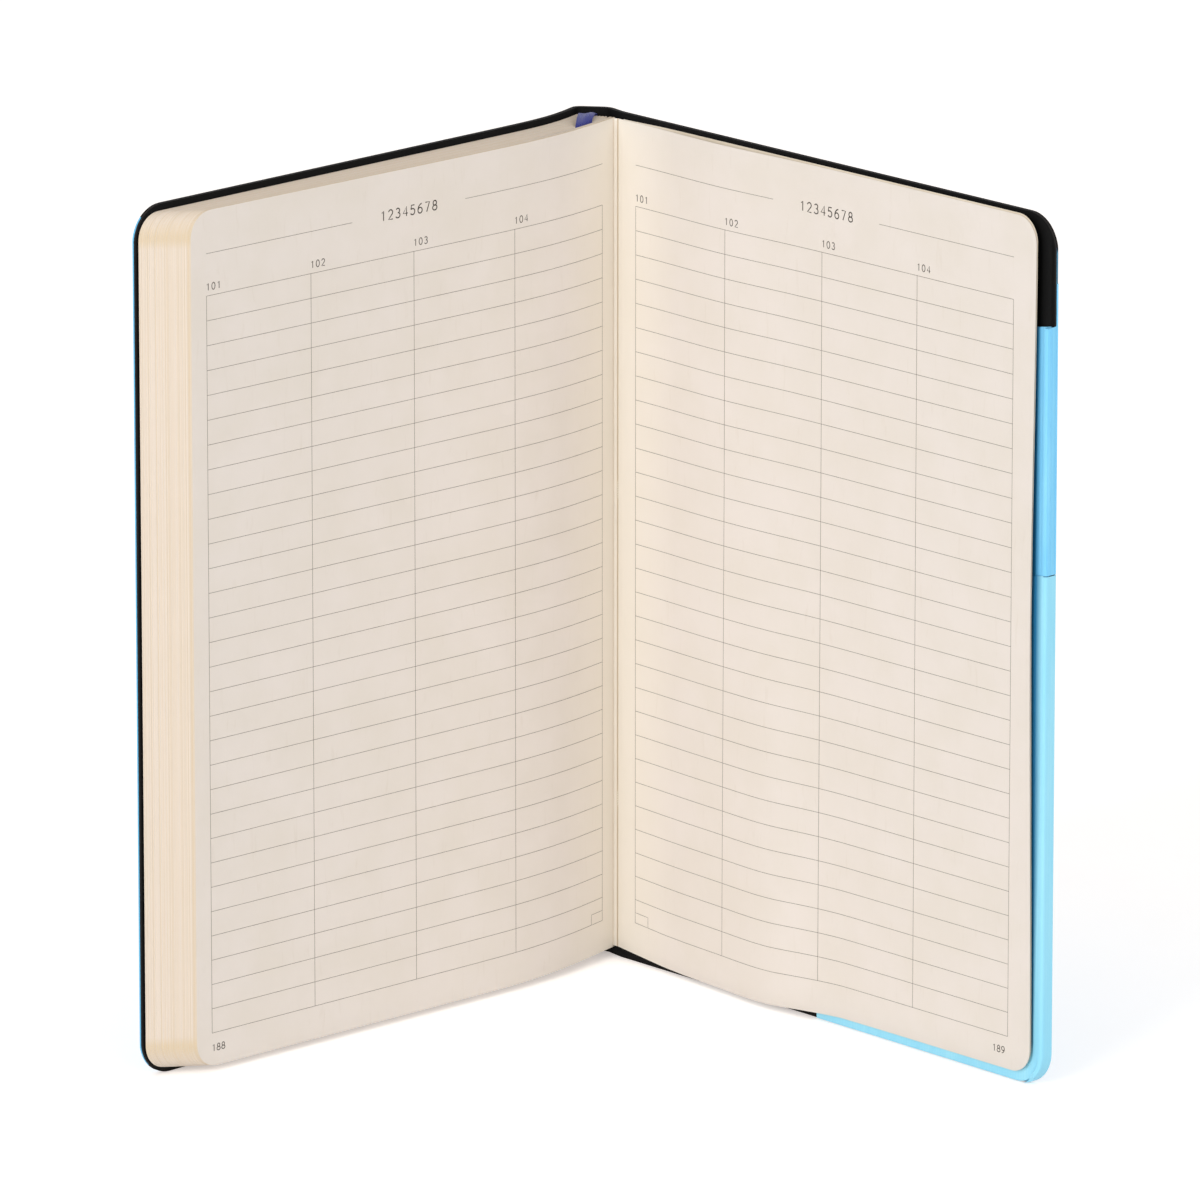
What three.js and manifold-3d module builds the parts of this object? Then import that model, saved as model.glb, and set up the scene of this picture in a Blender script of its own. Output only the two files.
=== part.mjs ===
// A5 soft cover notebook that stands open on its tail edge, its spine at the back.
// Millimetres, +Z up towards the head of the book, +Y towards the spine.
// Almost every piece is an upright sheet: a curve in plan that is given a height.
// Along a sheet, s is the distance from the spine; an offset is measured towards the pages.
import * as THREE from 'three';
import Module from 'manifold-3d';

const wasm = await Module();
wasm.setup();
const { Manifold } = wasm;

// Pages and cover, A5 format
const pageHeight = 207;
const pageWidth = 146.1;
const pageCornerRadius = 6.3;
const coverCornerRadius = 8.5;
const coverSquare = 1.5; // how far the cover stands past the pages at head and tail
const foreEdgeSquare = 1.9; // how much wider each cover is than the pages
const foreEdgeSlant = 3.8; // how much farther the first sewn leaf reaches than the last one

// Sewn pages
const blockThickness = 9.9;
const blockTurn = 19.6; // degrees that the back of the pages is turned clockwise from +X
const blockStart = 1.45; // from the front corner of the spine to the back of the first leaf
const signatureCount = 12;
const signatureGap = 0.15;

// Layers of the cover, from the outside in
const skinThickness = 0.4;
const boardThickness = 0.4;
const liningThickness = 0.3;
const layerGap = 0.1;
const pageToCoverGap = 0.3;

// Spine: a strip that is flat behind the pages and then bent towards the back cover
const spineAllowance = 3.85; // how much wider the spine is than the sewn pages
const spineShoulder = 5.75; // length of the bent part
const spineTurn = 7; // degrees clockwise from +X, flat part
const shoulderTurn = 56.6; // degrees clockwise from +X, bent part
const hingeRelief = 1.4; // the cover layers stop this far from where their middles cross
const gauzeThickness = 0.2;
const gauzeSideMargin = 1;
const gauzeEndMargin = 24;
const glueGap = 0.15;
const threadThickness = 0.3;
const threadHeight = 1.2;
const threadCount = 5;
const threadEndMargin = 38.5;

// The slope is how far a sheet turns away from the X axis once it runs straight.
// The swell is added to it at the spine and dies out over the settle distance.
const frontCoverSlope = 44.8; // degrees
const frontCoverSwell = 18; // degrees
const frontCoverSettle = 13.8;
const lastPageSlope = 43.2; // degrees
const lastPageSwell = 14; // degrees
const lastPageSettle = 27;
const backCoverSlope = 47.45; // degrees

// Loose leaves in front of the back cover; they turn about the same line as the back cover
const leafThickness = 0.2;
const leafGap = 0.1;
const leafLift = 0.65; // degrees between the back cover and the leaves
const leafRise = 0.8; // how much higher the leaves stand at the fore-edge than at the spine
const turnLineDepth = 1.1; // from the middle of the back cover's layers to the line of turning
const turnLineSetback = 0.9; // from the back corner to the line of turning, along the cover
const lastLeafStart = -0.3;
const flyleafStart = 4.5;

// Pocket on the inside of the back cover
const pocketWidth = 77.4;
const pocketEdgeInset = 0.6;
const pocketHeight = 184.5;
const pocketMouthHeight = 124.5;
const pocketMouthSag = 4;
const pocketFoot = 0.5;
const pocketBackingThickness = 0.2;
const pocketPanelThickness = 0.3;
const gussetThickness = 0.2;
const gussetPleatGap = 0.1;
const gussetPleatDepth = 7;

// Ribbon: glued to the back of the pages, laid over their head and hung between two signatures
const signaturesBeforeRibbon = 10;
const ribbonWidth = 4.3;
const ribbonThickness = 0.2;
const ribbonClearance = 0.15;
const ribbonRise = 0.25;
const ribbonBackStart = 1.5;
const ribbonSlotStart = 7.4;
const ribbonSlotLength = 6.9;
const ribbonGluedLength = 20;
const ribbonEndHeight = 14; // above the tail of the pages

// Steps that a curve or a corner is divided into
const bendSteps = 14;
const cornerSteps = 6;

const coverThickness = skinThickness + boardThickness + liningThickness + 2 * layerGap;
const coverHeight = pageHeight + 2 * coverSquare;
const coverWidth = pageWidth + foreEdgeSquare;
const pageFoot = coverSquare;
const pageHead = coverSquare + pageHeight;
const pleatPitch = gussetThickness + gussetPleatGap;

const at = (x, y) => new THREE.Vector2(x, y);
const along = (point, direction, distance) => point.clone().addScaledVector(direction, distance);
const radians = THREE.MathUtils.degToRad;

// A sheet in plan. side is -1 when it runs to the left of the spine and 1 to the right.
function planCurve(start, side, slope, swell = 0, settle = 1) {
  const step = 0.5;
  const heading = (s) => radians(slope + swell * Math.exp(-((s / settle) ** 2)));
  const direction = (s) => at(side * Math.cos(heading(s)), -Math.sin(heading(s)));
  const inward = (s) => {
    const d = direction(s);
    return at(side * d.y, -side * d.x);
  };
  const point = (s, offset = 0) => {
    const steps = Math.max(Math.ceil(s / step), 1);
    const part = s / steps;
    let reached = start;
    for (let i = 0; i < steps; i++) reached = along(reached, direction((i + 0.5) * part), part);
    return along(reached, inward(s), offset);
  };
  return { point, direction, inward };
}

// Columns of a sheet from one distance to another. The sheet bends up to bendEnd,
// and cut is how much its rounded outer corners take off the column at head and tail.
function columns(from, to, radius, bendEnd = from) {
  const list = [{ s: from, cut: 0 }];
  const bendStop = Math.min(bendEnd, to - radius);
  if (bendStop > from) {
    for (let i = 1; i <= bendSteps; i++) list.push({ s: from + (bendStop - from) * i / bendSteps, cut: 0 });
  }
  for (let i = 0; i <= cornerSteps; i++) {
    const turn = Math.PI / 2 * i / cornerSteps;
    const s = to - radius + radius * Math.sin(turn);
    if (s > list.at(-1).s + 0.001) list.push({ s, cut: radius * (1 - Math.cos(turn)) });
  }
  return list;
}

// Heights of a sheet's columns
const roundedEnds = (foot, head) => ({ foot: (c) => foot + c.cut, head: (c) => head - c.cut });
const roundedFoot = (foot, headAt) => ({ foot: (c) => foot + c.cut, head: (c) => headAt(c.s) });

// Closed solid between an outer and an inner curve in plan
function sheetSolid(list, heights, outerAt, innerAt) {
  const positions = [];
  for (const column of list) {
    const outer = outerAt(column.s);
    const inner = innerAt(column.s);
    const low = heights.foot(column);
    const high = heights.head(column);
    positions.push(outer.x, outer.y, low, outer.x, outer.y, high);
    positions.push(inner.x, inner.y, high, inner.x, inner.y, low);
  }
  const index = [];
  const quad = (a, b, c, d) => index.push(a, b, c, a, c, d);
  const last = 4 * (list.length - 1);
  quad(0, 3, 2, 1);
  quad(last, last + 1, last + 2, last + 3);
  for (let here = 0; here < last; here += 4) {
    for (let edge = 0; edge < 4; edge++) {
      const other = (edge + 1) % 4;
      quad(here + edge, here + other, here + other + 4, here + edge + 4);
    }
  }
  return facingOut(positions, index);
}

// Buffer geometry whose faces all look outward, whichever way they were listed
function facingOut(positions, index) {
  const corner = (i) => new THREE.Vector3().fromArray(positions, 3 * index[i]);
  let volume = 0;
  for (let i = 0; i < index.length; i += 3) volume += corner(i).dot(corner(i + 1).cross(corner(i + 2)));
  if (volume < 0) index.reverse();
  const geometry = new THREE.BufferGeometry();
  geometry.setAttribute('position', new THREE.Float32BufferAttribute(positions, 3));
  geometry.setIndex(index);
  geometry.computeVertexNormals();
  return geometry;
}

// Upright prism over a polygon in plan
function prism(polygon, low, high) {
  const flat = polygon.map((p) => [p.x, p.y]);
  const solid = Manifold.extrude([THREE.ShapeUtils.isClockWise(polygon) ? flat.reverse() : flat], high - low);
  return solid.translate([0, 0, low]);
}

function geometryOf(solid) {
  const mesh = solid.getMesh();
  return facingOut([...mesh.vertProperties], [...mesh.triVerts]);
}

// Finishes
const finish = (color, roughness) => new THREE.MeshStandardMaterial({ color, roughness });
const skinFinish = finish(0x5fc4f0, 0.55);
const boardFinish = finish(0x2a2523, 0.85);
const liningFinish = finish(0x1c1818, 0.7);
const paperFinish = finish(0xeadfcf, 0.9);
const gauzeFinish = finish(0xe8e4da, 0.95);
const threadFinish = finish(0xf2ede2, 0.8);
const ribbonFinish = finish(0x3f45a0, 0.5);

const notebook = new THREE.Group();
function addPiece(name, geometry, material) {
  const mesh = new THREE.Mesh(geometry, material);
  mesh.name = name;
  notebook.add(mesh);
}

// Spine strip, from the corner at the front cover to the corner at the back cover
const turned = (degrees) => at(Math.cos(radians(degrees)), -Math.sin(radians(degrees)));
const toPages = (direction) => at(direction.y, -direction.x);
const spineFlat = blockThickness + spineAllowance - spineShoulder;
const flatDirection = turned(spineTurn);
const shoulderDirection = turned(shoulderTurn);
const frontCorner = at(0, 0);
const spineBend = along(frontCorner, flatDirection, spineFlat);
const backCorner = along(spineBend, shoulderDirection, spineShoulder);
const frontCover = planCurve(frontCorner, -1, frontCoverSlope, frontCoverSwell, frontCoverSettle);
const backCover = planCurve(backCorner, 1, backCoverSlope);

const skinOffset = -coverThickness / 2;
const boardOffset = skinOffset + skinThickness + layerGap;
const liningOffset = boardOffset + boardThickness + layerGap;

// Skin, board and lining over one run of the cover
function addCoverLayers(name, list, pointAt) {
  const add = (layer, offset, thickness, material) => {
    const outerAt = (s) => pointAt(s, offset);
    const innerAt = (s) => pointAt(s, offset + thickness);
    addPiece(`${name}_${layer}`, sheetSolid(list, roundedEnds(0, coverHeight), outerAt, innerAt), material);
  };
  add('skin', skinOffset, skinThickness, skinFinish);
  add('board', boardOffset, boardThickness, boardFinish);
  add('lining', liningOffset, liningThickness, liningFinish);
}

// The spine strip's layers are mitred at its bend
function spinePoint(s, offset) {
  if (s < spineFlat) return along(along(frontCorner, flatDirection, s), toPages(flatDirection), offset);
  if (s > spineFlat) {
    return along(along(spineBend, shoulderDirection, s - spineFlat), toPages(shoulderDirection), offset);
  }
  const mitre = toPages(flatDirection).add(toPages(shoulderDirection)).normalize();
  return along(spineBend, mitre, offset / mitre.dot(toPages(flatDirection)));
}
const spineColumns = () =>
  [hingeRelief, spineFlat, spineFlat + spineShoulder - hingeRelief].map((s) => ({ s, cut: 0 }));

function addCover() {
  const frontColumns = columns(hingeRelief, coverWidth, coverCornerRadius, 2 * frontCoverSettle);
  addCoverLayers('front_cover', frontColumns, frontCover.point);
  addCoverLayers('spine', spineColumns(), spinePoint);
  addCoverLayers('back_cover', columns(hingeRelief, coverWidth, coverCornerRadius), backCover.point);
}

// The first leaf lies along the front cover, and the back of the pages runs from there
const firstLeafOffset = coverThickness / 2 + pageToCoverGap;
const firstLeafPoint = (s) => frontCover.point(s + blockStart, firstLeafOffset);
const blockDirection = turned(blockTurn);
const threadSpace = threadThickness + 2 * glueGap;
const blockEnd = along(firstLeafPoint(0), blockDirection, blockThickness);
const lastPage = planCurve(blockEnd, -1, lastPageSlope, lastPageSwell, lastPageSettle);
const blockPoint = (s, across) => firstLeafPoint(s).lerp(lastPage.point(s), across / blockThickness);

// The gap that the ribbon hangs in is wider than the other gaps
const ribbonSlot = ribbonThickness + 2 * ribbonClearance;
const closedThickness = blockThickness - (signatureCount - 2) * signatureGap - ribbonSlot;
const signatureThickness = closedThickness / signatureCount;
function signatureStart(i) {
  const widening = i >= signaturesBeforeRibbon ? ribbonSlot - signatureGap : 0;
  return i * (signatureThickness + signatureGap) + widening;
}

function addSignatures() {
  const heights = roundedEnds(pageFoot, pageHead);
  for (let i = 0; i < signatureCount; i++) {
    const first = signatureStart(i);
    const last = first + signatureThickness;
    const reach = pageWidth - foreEdgeSlant * (first + last) / (2 * blockThickness);
    const list = columns(0, reach, pageCornerRadius, 2 * lastPageSettle);
    const solid = sheetSolid(list, heights, (s) => blockPoint(s, first), (s) => blockPoint(s, last));
    addPiece(`signature_${String(i + 1).padStart(2, '0')}`, solid, paperFinish);
  }
}

// Point behind the back of the sewn pages
const behindBlock = (across, depth) =>
  along(along(firstLeafPoint(0), blockDirection, across), toPages(blockDirection), -depth);

function addBinding() {
  const gauzeHeights = roundedEnds(pageFoot + gauzeEndMargin, pageHead - gauzeEndMargin);
  const gauze = sheetSolid(
    columns(gauzeSideMargin, blockThickness - gauzeSideMargin, 0),
    gauzeHeights,
    (across) => behindBlock(across, threadSpace + gauzeThickness),
    (across) => behindBlock(across, threadSpace),
  );
  addPiece('spine_gauze', gauze, gauzeFinish);
  const pitch = (pageHeight - 2 * threadEndMargin) / (threadCount - 1);
  const list = columns(signatureThickness / 2, blockThickness - signatureThickness / 2, 0);
  for (let i = 0; i < threadCount; i++) {
    const middle = pageFoot + threadEndMargin + i * pitch;
    const thread = sheetSolid(
      list,
      roundedEnds(middle - threadHeight / 2, middle + threadHeight / 2),
      (across) => behindBlock(across, glueGap + threadThickness),
      (across) => behindBlock(across, glueGap),
    );
    addPiece(`link_stitch_${i + 1}`, thread, threadFinish);
  }
}

function addRibbon() {
  const slotMiddle = signatureStart(signaturesBeforeRibbon) - ribbonSlot / 2;
  const slotEnd = ribbonSlotStart + ribbonSlotLength;
  const slotFaces = [slotMiddle - ribbonThickness / 2, slotMiddle + ribbonThickness / 2];
  const backEnd = ribbonBackStart + ribbonWidth;
  const backFaces = [glueGap, glueGap + ribbonThickness];
  const top = pageHead + ribbonRise + ribbonThickness;
  const hanging = prism(
    [
      blockPoint(ribbonSlotStart, slotFaces[0]),
      blockPoint(slotEnd, slotFaces[0]),
      blockPoint(slotEnd, slotFaces[1]),
      blockPoint(ribbonSlotStart, slotFaces[1]),
    ],
    pageFoot + ribbonEndHeight,
    top,
  );
  const overHead = prism(
    [
      behindBlock(ribbonBackStart, backFaces[1]),
      behindBlock(backEnd, backFaces[1]),
      blockPoint(ribbonSlotStart, slotFaces[1]),
      blockPoint(slotEnd, slotFaces[1]),
    ],
    pageHead + ribbonRise,
    top,
  );
  const glued = prism(
    [
      behindBlock(ribbonBackStart, backFaces[0]),
      behindBlock(backEnd, backFaces[0]),
      behindBlock(backEnd, backFaces[1]),
      behindBlock(ribbonBackStart, backFaces[1]),
    ],
    pageHead - ribbonGluedLength,
    top,
  );
  addPiece('bookmark_ribbon', geometryOf(Manifold.union([hanging, overHead, glued])), ribbonFinish);
}

// The leaves and the back cover turn about one upright line in front of the back corner
const turnLine = along(backCover.point(0, turnLineDepth), backCover.direction(0), -turnLineSetback);
const leaf = planCurve(turnLine, 1, backCoverSlope + leafLift);

function addLooseLeaf(name, start, offset) {
  const list = columns(start, lastLeafStart + pageWidth, pageCornerRadius);
  const rise = (c) => leafRise * c.s / pageWidth;
  const heights = { foot: (c) => pageFoot + rise(c) + c.cut, head: (c) => pageHead + rise(c) - c.cut };
  const outerAt = (s) => leaf.point(s, offset);
  const innerAt = (s) => leaf.point(s, offset + leafThickness);
  addPiece(name, sheetSolid(list, heights, outerAt, innerAt), paperFinish);
}

// Backing sheet, pleated gusset at the fore-edge and front panel of the pocket
const pocketOuterEdge = coverWidth - pocketEdgeInset;
const pocketInnerEdge = pocketOuterEdge - pocketWidth;
const pocketCorner = coverCornerRadius - pocketEdgeInset;
const backingOffset = coverThickness / 2 + layerGap;
const panelOffset = backingOffset + pocketBackingThickness + layerGap;
const gussetDepth = gussetThickness + 2 * pleatPitch;
const gussetInnerEdge = pocketOuterEdge - gussetPleatDepth;
const panelRise = gussetDepth + layerGap;
const panelOffsetAt = (s) =>
  panelOffset + panelRise * Math.min((s - pocketInnerEdge) / (gussetInnerEdge - pocketInnerEdge), 1);

function addPocket() {
  const backing = sheetSolid(
    columns(pocketInnerEdge, pocketOuterEdge, pocketCorner),
    roundedFoot(pocketFoot, () => pocketHeight),
    (s) => backCover.point(s, backingOffset),
    (s) => backCover.point(s, backingOffset + pocketBackingThickness),
  );
  addPiece('pocket_backing', backing, skinFinish);
  const mouthHeight = (s) => {
    const share = (s - pocketInnerEdge) / (pocketOuterEdge - pocketInnerEdge);
    return pocketMouthHeight - 4 * pocketMouthSag * share * (1 - share);
  };
  const panel = sheetSolid(
    columns(pocketInnerEdge, pocketOuterEdge, pocketCorner, gussetInnerEdge),
    roundedFoot(pocketFoot, mouthHeight),
    (s) => backCover.point(s, panelOffsetAt(s)),
    (s) => backCover.point(s, panelOffsetAt(s) + pocketPanelThickness),
  );
  addPiece('pocket_panel', panel, skinFinish);
}

// One strip folded twice: three pleats, joined at the outer edge and then at the inner edge
function addGusset() {
  const inner = gussetInnerEdge;
  const outer = pocketOuterEdge;
  const low = (pleat) => panelOffset + pleat * pleatPitch;
  const high = (pleat) => low(pleat) + gussetThickness;
  const outline = [
    [inner, low(0)],
    [outer, low(0)],
    [outer, high(1)],
    [inner + gussetThickness, high(1)],
    [inner + gussetThickness, low(2)],
    [outer, low(2)],
    [outer, high(2)],
    [inner, high(2)],
    [inner, low(1)],
    [outer - gussetThickness, low(1)],
    [outer - gussetThickness, high(0)],
    [inner, high(0)],
  ];
  const polygon = outline.map(([s, offset]) => backCover.point(s, offset));
  addPiece('pocket_gusset', geometryOf(prism(polygon, pocketFoot + pocketCorner, pocketHeight)), skinFinish);
}

addCover();
addSignatures();
addBinding();
addRibbon();
addLooseLeaf('last_leaf', lastLeafStart, 0);
addLooseLeaf('back_flyleaf', flyleafStart, -leafGap - leafThickness);
addPocket();
addGusset();

// The origin is the middle of the footprint, on the surface that the tail edge stands on
const extent = new THREE.Box3().setFromObject(notebook);
const middle = extent.getCenter(new THREE.Vector3());
notebook.position.set(-middle.x, -middle.y, -extent.min.z);

export default notebook;
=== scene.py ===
import math
import random

import bpy
import numpy as np
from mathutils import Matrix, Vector


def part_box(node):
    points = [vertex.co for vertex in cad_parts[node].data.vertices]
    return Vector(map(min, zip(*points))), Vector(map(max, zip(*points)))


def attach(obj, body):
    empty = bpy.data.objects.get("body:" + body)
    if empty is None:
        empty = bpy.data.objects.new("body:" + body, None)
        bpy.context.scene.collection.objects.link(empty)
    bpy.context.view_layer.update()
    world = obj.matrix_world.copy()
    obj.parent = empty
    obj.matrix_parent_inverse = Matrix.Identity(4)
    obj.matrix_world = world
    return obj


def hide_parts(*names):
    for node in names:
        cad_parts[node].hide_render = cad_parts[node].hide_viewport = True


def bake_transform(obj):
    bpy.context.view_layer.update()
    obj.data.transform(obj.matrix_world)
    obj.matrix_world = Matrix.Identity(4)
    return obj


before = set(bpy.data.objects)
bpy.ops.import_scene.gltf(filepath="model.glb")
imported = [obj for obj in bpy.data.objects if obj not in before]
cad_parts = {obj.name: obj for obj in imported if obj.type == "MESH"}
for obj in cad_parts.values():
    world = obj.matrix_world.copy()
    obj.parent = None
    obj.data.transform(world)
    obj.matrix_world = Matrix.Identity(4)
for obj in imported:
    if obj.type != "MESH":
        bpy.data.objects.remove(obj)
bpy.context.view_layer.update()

random.seed(11)

# Lengths are in millimetres until a mesh is made. +Y is towards the spine, +Z up.
# Along a sheet, s is the distance from the spine; an offset is measured towards the pages.
MM = 0.001

# Pages and cover
PAGE_HEIGHT = 207.0
PAGE_WIDTH = 146.1
PAGE_CORNER = 6.3
COVER_CORNER = 8.5
COVER_SQUARE = 1.5
COVER_WIDTH = 148.0
FORE_EDGE_SLANT = 5.0  # how much farther the first sewn leaf reaches than the last
COVER_HEIGHT = PAGE_HEIGHT + 2 * COVER_SQUARE
PAGE_FOOT = COVER_SQUARE
PAGE_HEAD = COVER_SQUARE + PAGE_HEIGHT

# Sewn pages
BLOCK_THICKNESS = 9.9
BLOCK_TURN = 19.6
BLOCK_START = 1.45
SIGNATURES = 12
LEAVES_EACH = 8
SIGNATURE_GAP = 0.15
RIBBON_AFTER = 10
RIBBON_SLOT = 0.5
LEAF_FILL = 0.93  # share of its pitch that a sewn leaf takes up

# Layers of the cover, as offsets from its middle, from the outside in
SKIN_LAYER = (-0.65, -0.2)
BOARD_LAYER = (-0.2, 0.3)
LINING_LAYER = (0.3, 0.65)
LAYER_ROUNDING = 0.12
PAGE_TO_COVER = 0.3

# Spine strip and slopes of the sheets, in degrees
SPINE_FLAT = 8.0
SPINE_SHOULDER = 5.75
SPINE_TURN = 7.0
SHOULDER_TURN = 56.6
HINGE_RELIEF = 1.4
FRONT_COVER = dict(slope=44.8, swell=18.0, settle=13.8)
LAST_PAGE = dict(slope=43.2, swell=14.0, settle=27.0)
BACK_COVER_SLOPE = 47.45
LEAF_LIFT = 0.65
LEAF_RISE = 0.8
TURN_LINE_DEPTH = 1.1
TURN_LINE_SETBACK = 0.9

# Pocket inside the back cover
POCKET_START = 70.0
POCKET_END = 147.4
PANEL_END = 146.6
POCKET_CORNER = 7.9
POCKET_FOOT = 0.15
POCKET_HEAD = 183.9
POCKET_HEAD_SLOPE = 0.17
POCKET_MOUTH = 124.5
MOUTH_SAG = 4.0
BACKING_LAYER = (0.75, 0.95)
PANEL_OFFSET = 1.05
PANEL_THICKNESS = 0.2
PANEL_RISE = 0.5
PLEAT_THICKNESS = 0.1
PLEAT_PITCH = 0.16
GUSSET_START = 140.4

# Painted shadow on the pocket: a dark upright band beside the page's edge, where the page shades it: where
# it starts, is full, fades, and ends low and high
FRONT_PAINTED_SHADOW = (140.8, 141.6, 144.0, 144.6, 146.0)
PLEAT_PAINTED_SHADOW = (140.8, 141.6, 143.4, 144.1, 145.1)
POCKET_SHADOW_WIDENS = (12.0, 70.0)
POCKET_SHADOW_FOOT = (7.0, 10.5)

# Printed table
COLUMN_LINES = (6.8, 39.5, 72.1, 104.7, 137.3)
TABLE_ROWS = 30
TABLE_FOOT = PAGE_FOOT + 8.1
TABLE_HEAD = PAGE_HEAD - 20.4
TITLE_RULE = PAGE_HEAD - 10.3
TITLE_MIDDLE = 73.6
TITLE_GAP = 36.0
LEFT_PRINT_SHIFT = -1.0
RIGHT_PRINT_SHIFT = 0.5
LINE_WIDTH = 0.105
CREASE_AT = 0.87  # fold of the last leaf, beside the gutter
INK_LIFT = 0.02


def turned(degrees):
    angle = math.radians(degrees)
    return np.array([math.cos(angle), -math.sin(angle)])


def to_pages(direction):
    return np.array([direction[1], -direction[0]])


def smoothstep(value):
    value = min(max(value, 0.0), 1.0)
    return value * value * (3 - 2 * value)


def mix(a, b, share):
    return a + (b - a) * share


class PlanCurve:
    """A sheet in plan: side is -1 where it runs to the left of the spine and 1 to the right."""

    STEP = 0.1
    REACH = 152.0

    def __init__(self, start, side, slope, swell=0.0, settle=1.0):
        self.start = np.array(start, float)
        self.side = side
        self.slope = slope
        self.swell = swell
        self.settle = settle
        middles = (np.arange(int(self.REACH / self.STEP)) + 0.5) * self.STEP
        heading = np.radians(slope + swell * np.exp(-((middles / settle) ** 2)))
        moves = np.stack([side * np.cos(heading), -np.sin(heading)], 1) * self.STEP
        self.line = np.vstack([self.start, self.start + np.cumsum(moves, 0)])

    def direction(self, s):
        angle = math.radians(self.slope + self.swell * math.exp(-((max(s, 0) / self.settle) ** 2)))
        return np.array([self.side * math.cos(angle), -math.sin(angle)])

    def inward(self, s):
        d = self.direction(s)
        return np.array([self.side * d[1], -self.side * d[0]])

    def point(self, s, offset=0.0):
        if s <= 0:
            base = self.start + self.direction(0) * s
        else:
            place = s / self.STEP
            low = min(int(place), len(self.line) - 2)
            base = mix(self.line[low], self.line[low + 1], place - low)
        return base + offset * self.inward(s)


FLAT = turned(SPINE_TURN)
SHOULDER = turned(SHOULDER_TURN)
PACKED_BOARD = (-0.15, 0.25)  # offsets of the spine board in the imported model


def corner_from_frame():
    """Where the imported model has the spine's corner at the front cover, in plan."""
    low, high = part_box("spine_board")
    ends = [FLAT * HINGE_RELIEF + to_pages(FLAT) * offset for offset in PACKED_BOARD]
    left = min(end[0] for end in ends)
    back = max(end[1] for end in ends)
    return np.array([low.x / MM - left, high.y / MM - back])


front_corner = corner_from_frame()
spine_bend = front_corner + FLAT * SPINE_FLAT
back_corner = spine_bend + SHOULDER * SPINE_SHOULDER
front_cover = PlanCurve(front_corner, -1, **FRONT_COVER)
back_cover = PlanCurve(back_corner, 1, BACK_COVER_SLOPE)
block_turn = turned(BLOCK_TURN)


def first_leaf_point(s):
    return front_cover.point(s + BLOCK_START, LINING_LAYER[1] + PAGE_TO_COVER)


block_start = first_leaf_point(0)
block_end = block_start + block_turn * BLOCK_THICKNESS
last_page = PlanCurve(block_end, -1, **LAST_PAGE)
turn_line = back_cover.point(0, TURN_LINE_DEPTH) - back_cover.direction(0) * TURN_LINE_SETBACK
leaf = PlanCurve(turn_line, 1, BACK_COVER_SLOPE + LEAF_LIFT)


def block_point(s, across):
    return mix(first_leaf_point(s), last_page.point(s), across / BLOCK_THICKNESS)


def behind_block(across, depth):
    return block_start + block_turn * across - to_pages(block_turn) * depth


# Meshes are lofted through rings of points. A point is (x, y, z, u, v); u and v are
# distances on the sheet, which the materials use for their weave and grain.
RING_STEPS = 2  # steps round each corner of a sheet's section
CORNER_STEPS = 12  # steps round each rounded corner of a page or cover


def ring_of(place, s, low, high, outer, inner, radius, rows=0):
    """Section of an upright sheet at s, with rounded corners. place(s, offset, z) gives a plan point."""
    radius = min(radius, 0.49 * (inner - outer), 0.49 * (high - low))
    corners = (
        (outer + radius, high - radius, 180.0),
        (inner - radius, high - radius, 90.0),
        (inner - radius, low + radius, 0.0),
        (outer + radius, low + radius, -90.0),
    )
    ring = []

    def add(offset, z):
        x, y = place(s, offset, z)
        ring.append((x, y, z, s, z))

    for number, (offset, z, first) in enumerate(corners):
        for step in range(RING_STEPS + 1):
            angle = math.radians(first - 90.0 * step / RING_STEPS)
            add(offset + radius * math.cos(angle), z + radius * math.sin(angle))
        if number in (1, 3):
            for row in range(rows):
                share = (row + 1) / (rows + 1)
                start, stop = (high, low) if number == 1 else (low, high)
                add(inner if number == 1 else outer, mix(start, stop, share))
    return ring


def faces_between(rings, base=0):
    """Faces along the rings, one for each side of each ring, and then the two ends."""
    count = len(rings[0])
    faces = []
    for here in range(base, base + (len(rings) - 1) * count, count):
        for i in range(count):
            j = (i + 1) % count
            faces.append((here + i, here + count + i, here + count + j, here + j))
    last = base + (len(rings) - 1) * count
    return faces + [tuple(range(base, base + count)), tuple(range(last + count - 1, last - 1, -1))]


def loft(name, rings, materials, rim=(), rim_until=math.inf):
    """Mesh through rings of equally many points. The sides in rim take material 1 up to rim_until."""
    points = [point for ring in rings for point in ring]
    slots = [int(i in rim and ring[0][3] < rim_until) for ring in rings[:-1] for i in range(len(ring))]
    slots += [0, int(bool(rim) and rim_until == math.inf)]
    return mesh_object(name, points, faces_between(rings), materials, slots)


def mesh_object(name, points, faces, materials, slots=None, sharp=38.0):
    mesh = bpy.data.meshes.new(name)
    mesh.from_pydata([(p[0] * MM, p[1] * MM, p[2] * MM) for p in points], [], faces)
    layer = mesh.uv_layers.new(name="sheet")
    for loop in mesh.loops:
        point = points[loop.vertex_index]
        layer.data[loop.index].uv = (point[3] * MM, point[4] * MM)
    for material in materials:
        mesh.materials.append(material)
    if slots:
        mesh.polygons.foreach_set("material_index", slots)
    obj = bpy.data.objects.new(name, mesh)
    bpy.context.scene.collection.objects.link(obj)
    face_outward(mesh)
    mesh.shade_smooth()
    mesh.set_sharp_from_angle(angle=math.radians(sharp))
    return obj


def face_outward(mesh):
    """Turns all faces over if the closed mesh is inside out."""
    volume = 0.0
    for face in mesh.polygons:
        volume += face.center.dot(face.normal) * face.area
    if volume < 0:
        mesh.flip_normals()
    mesh.update()


def spread(start, stop, pitch):
    count = max(int(math.ceil(abs(stop - start) / pitch)), 1)
    return [mix(start, stop, i / count) for i in range(count + 1)]


def arc_cut(run, radius):
    """How far an arc stands back from its tangent, at a distance past its start."""
    return radius - math.sqrt(max(radius * radius - run * run, 0.0))


def corner_stations(start, radius, count):
    return [start + radius * math.sin(math.pi / 2 * i / CORNER_STEPS) for i in range(count)]


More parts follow.
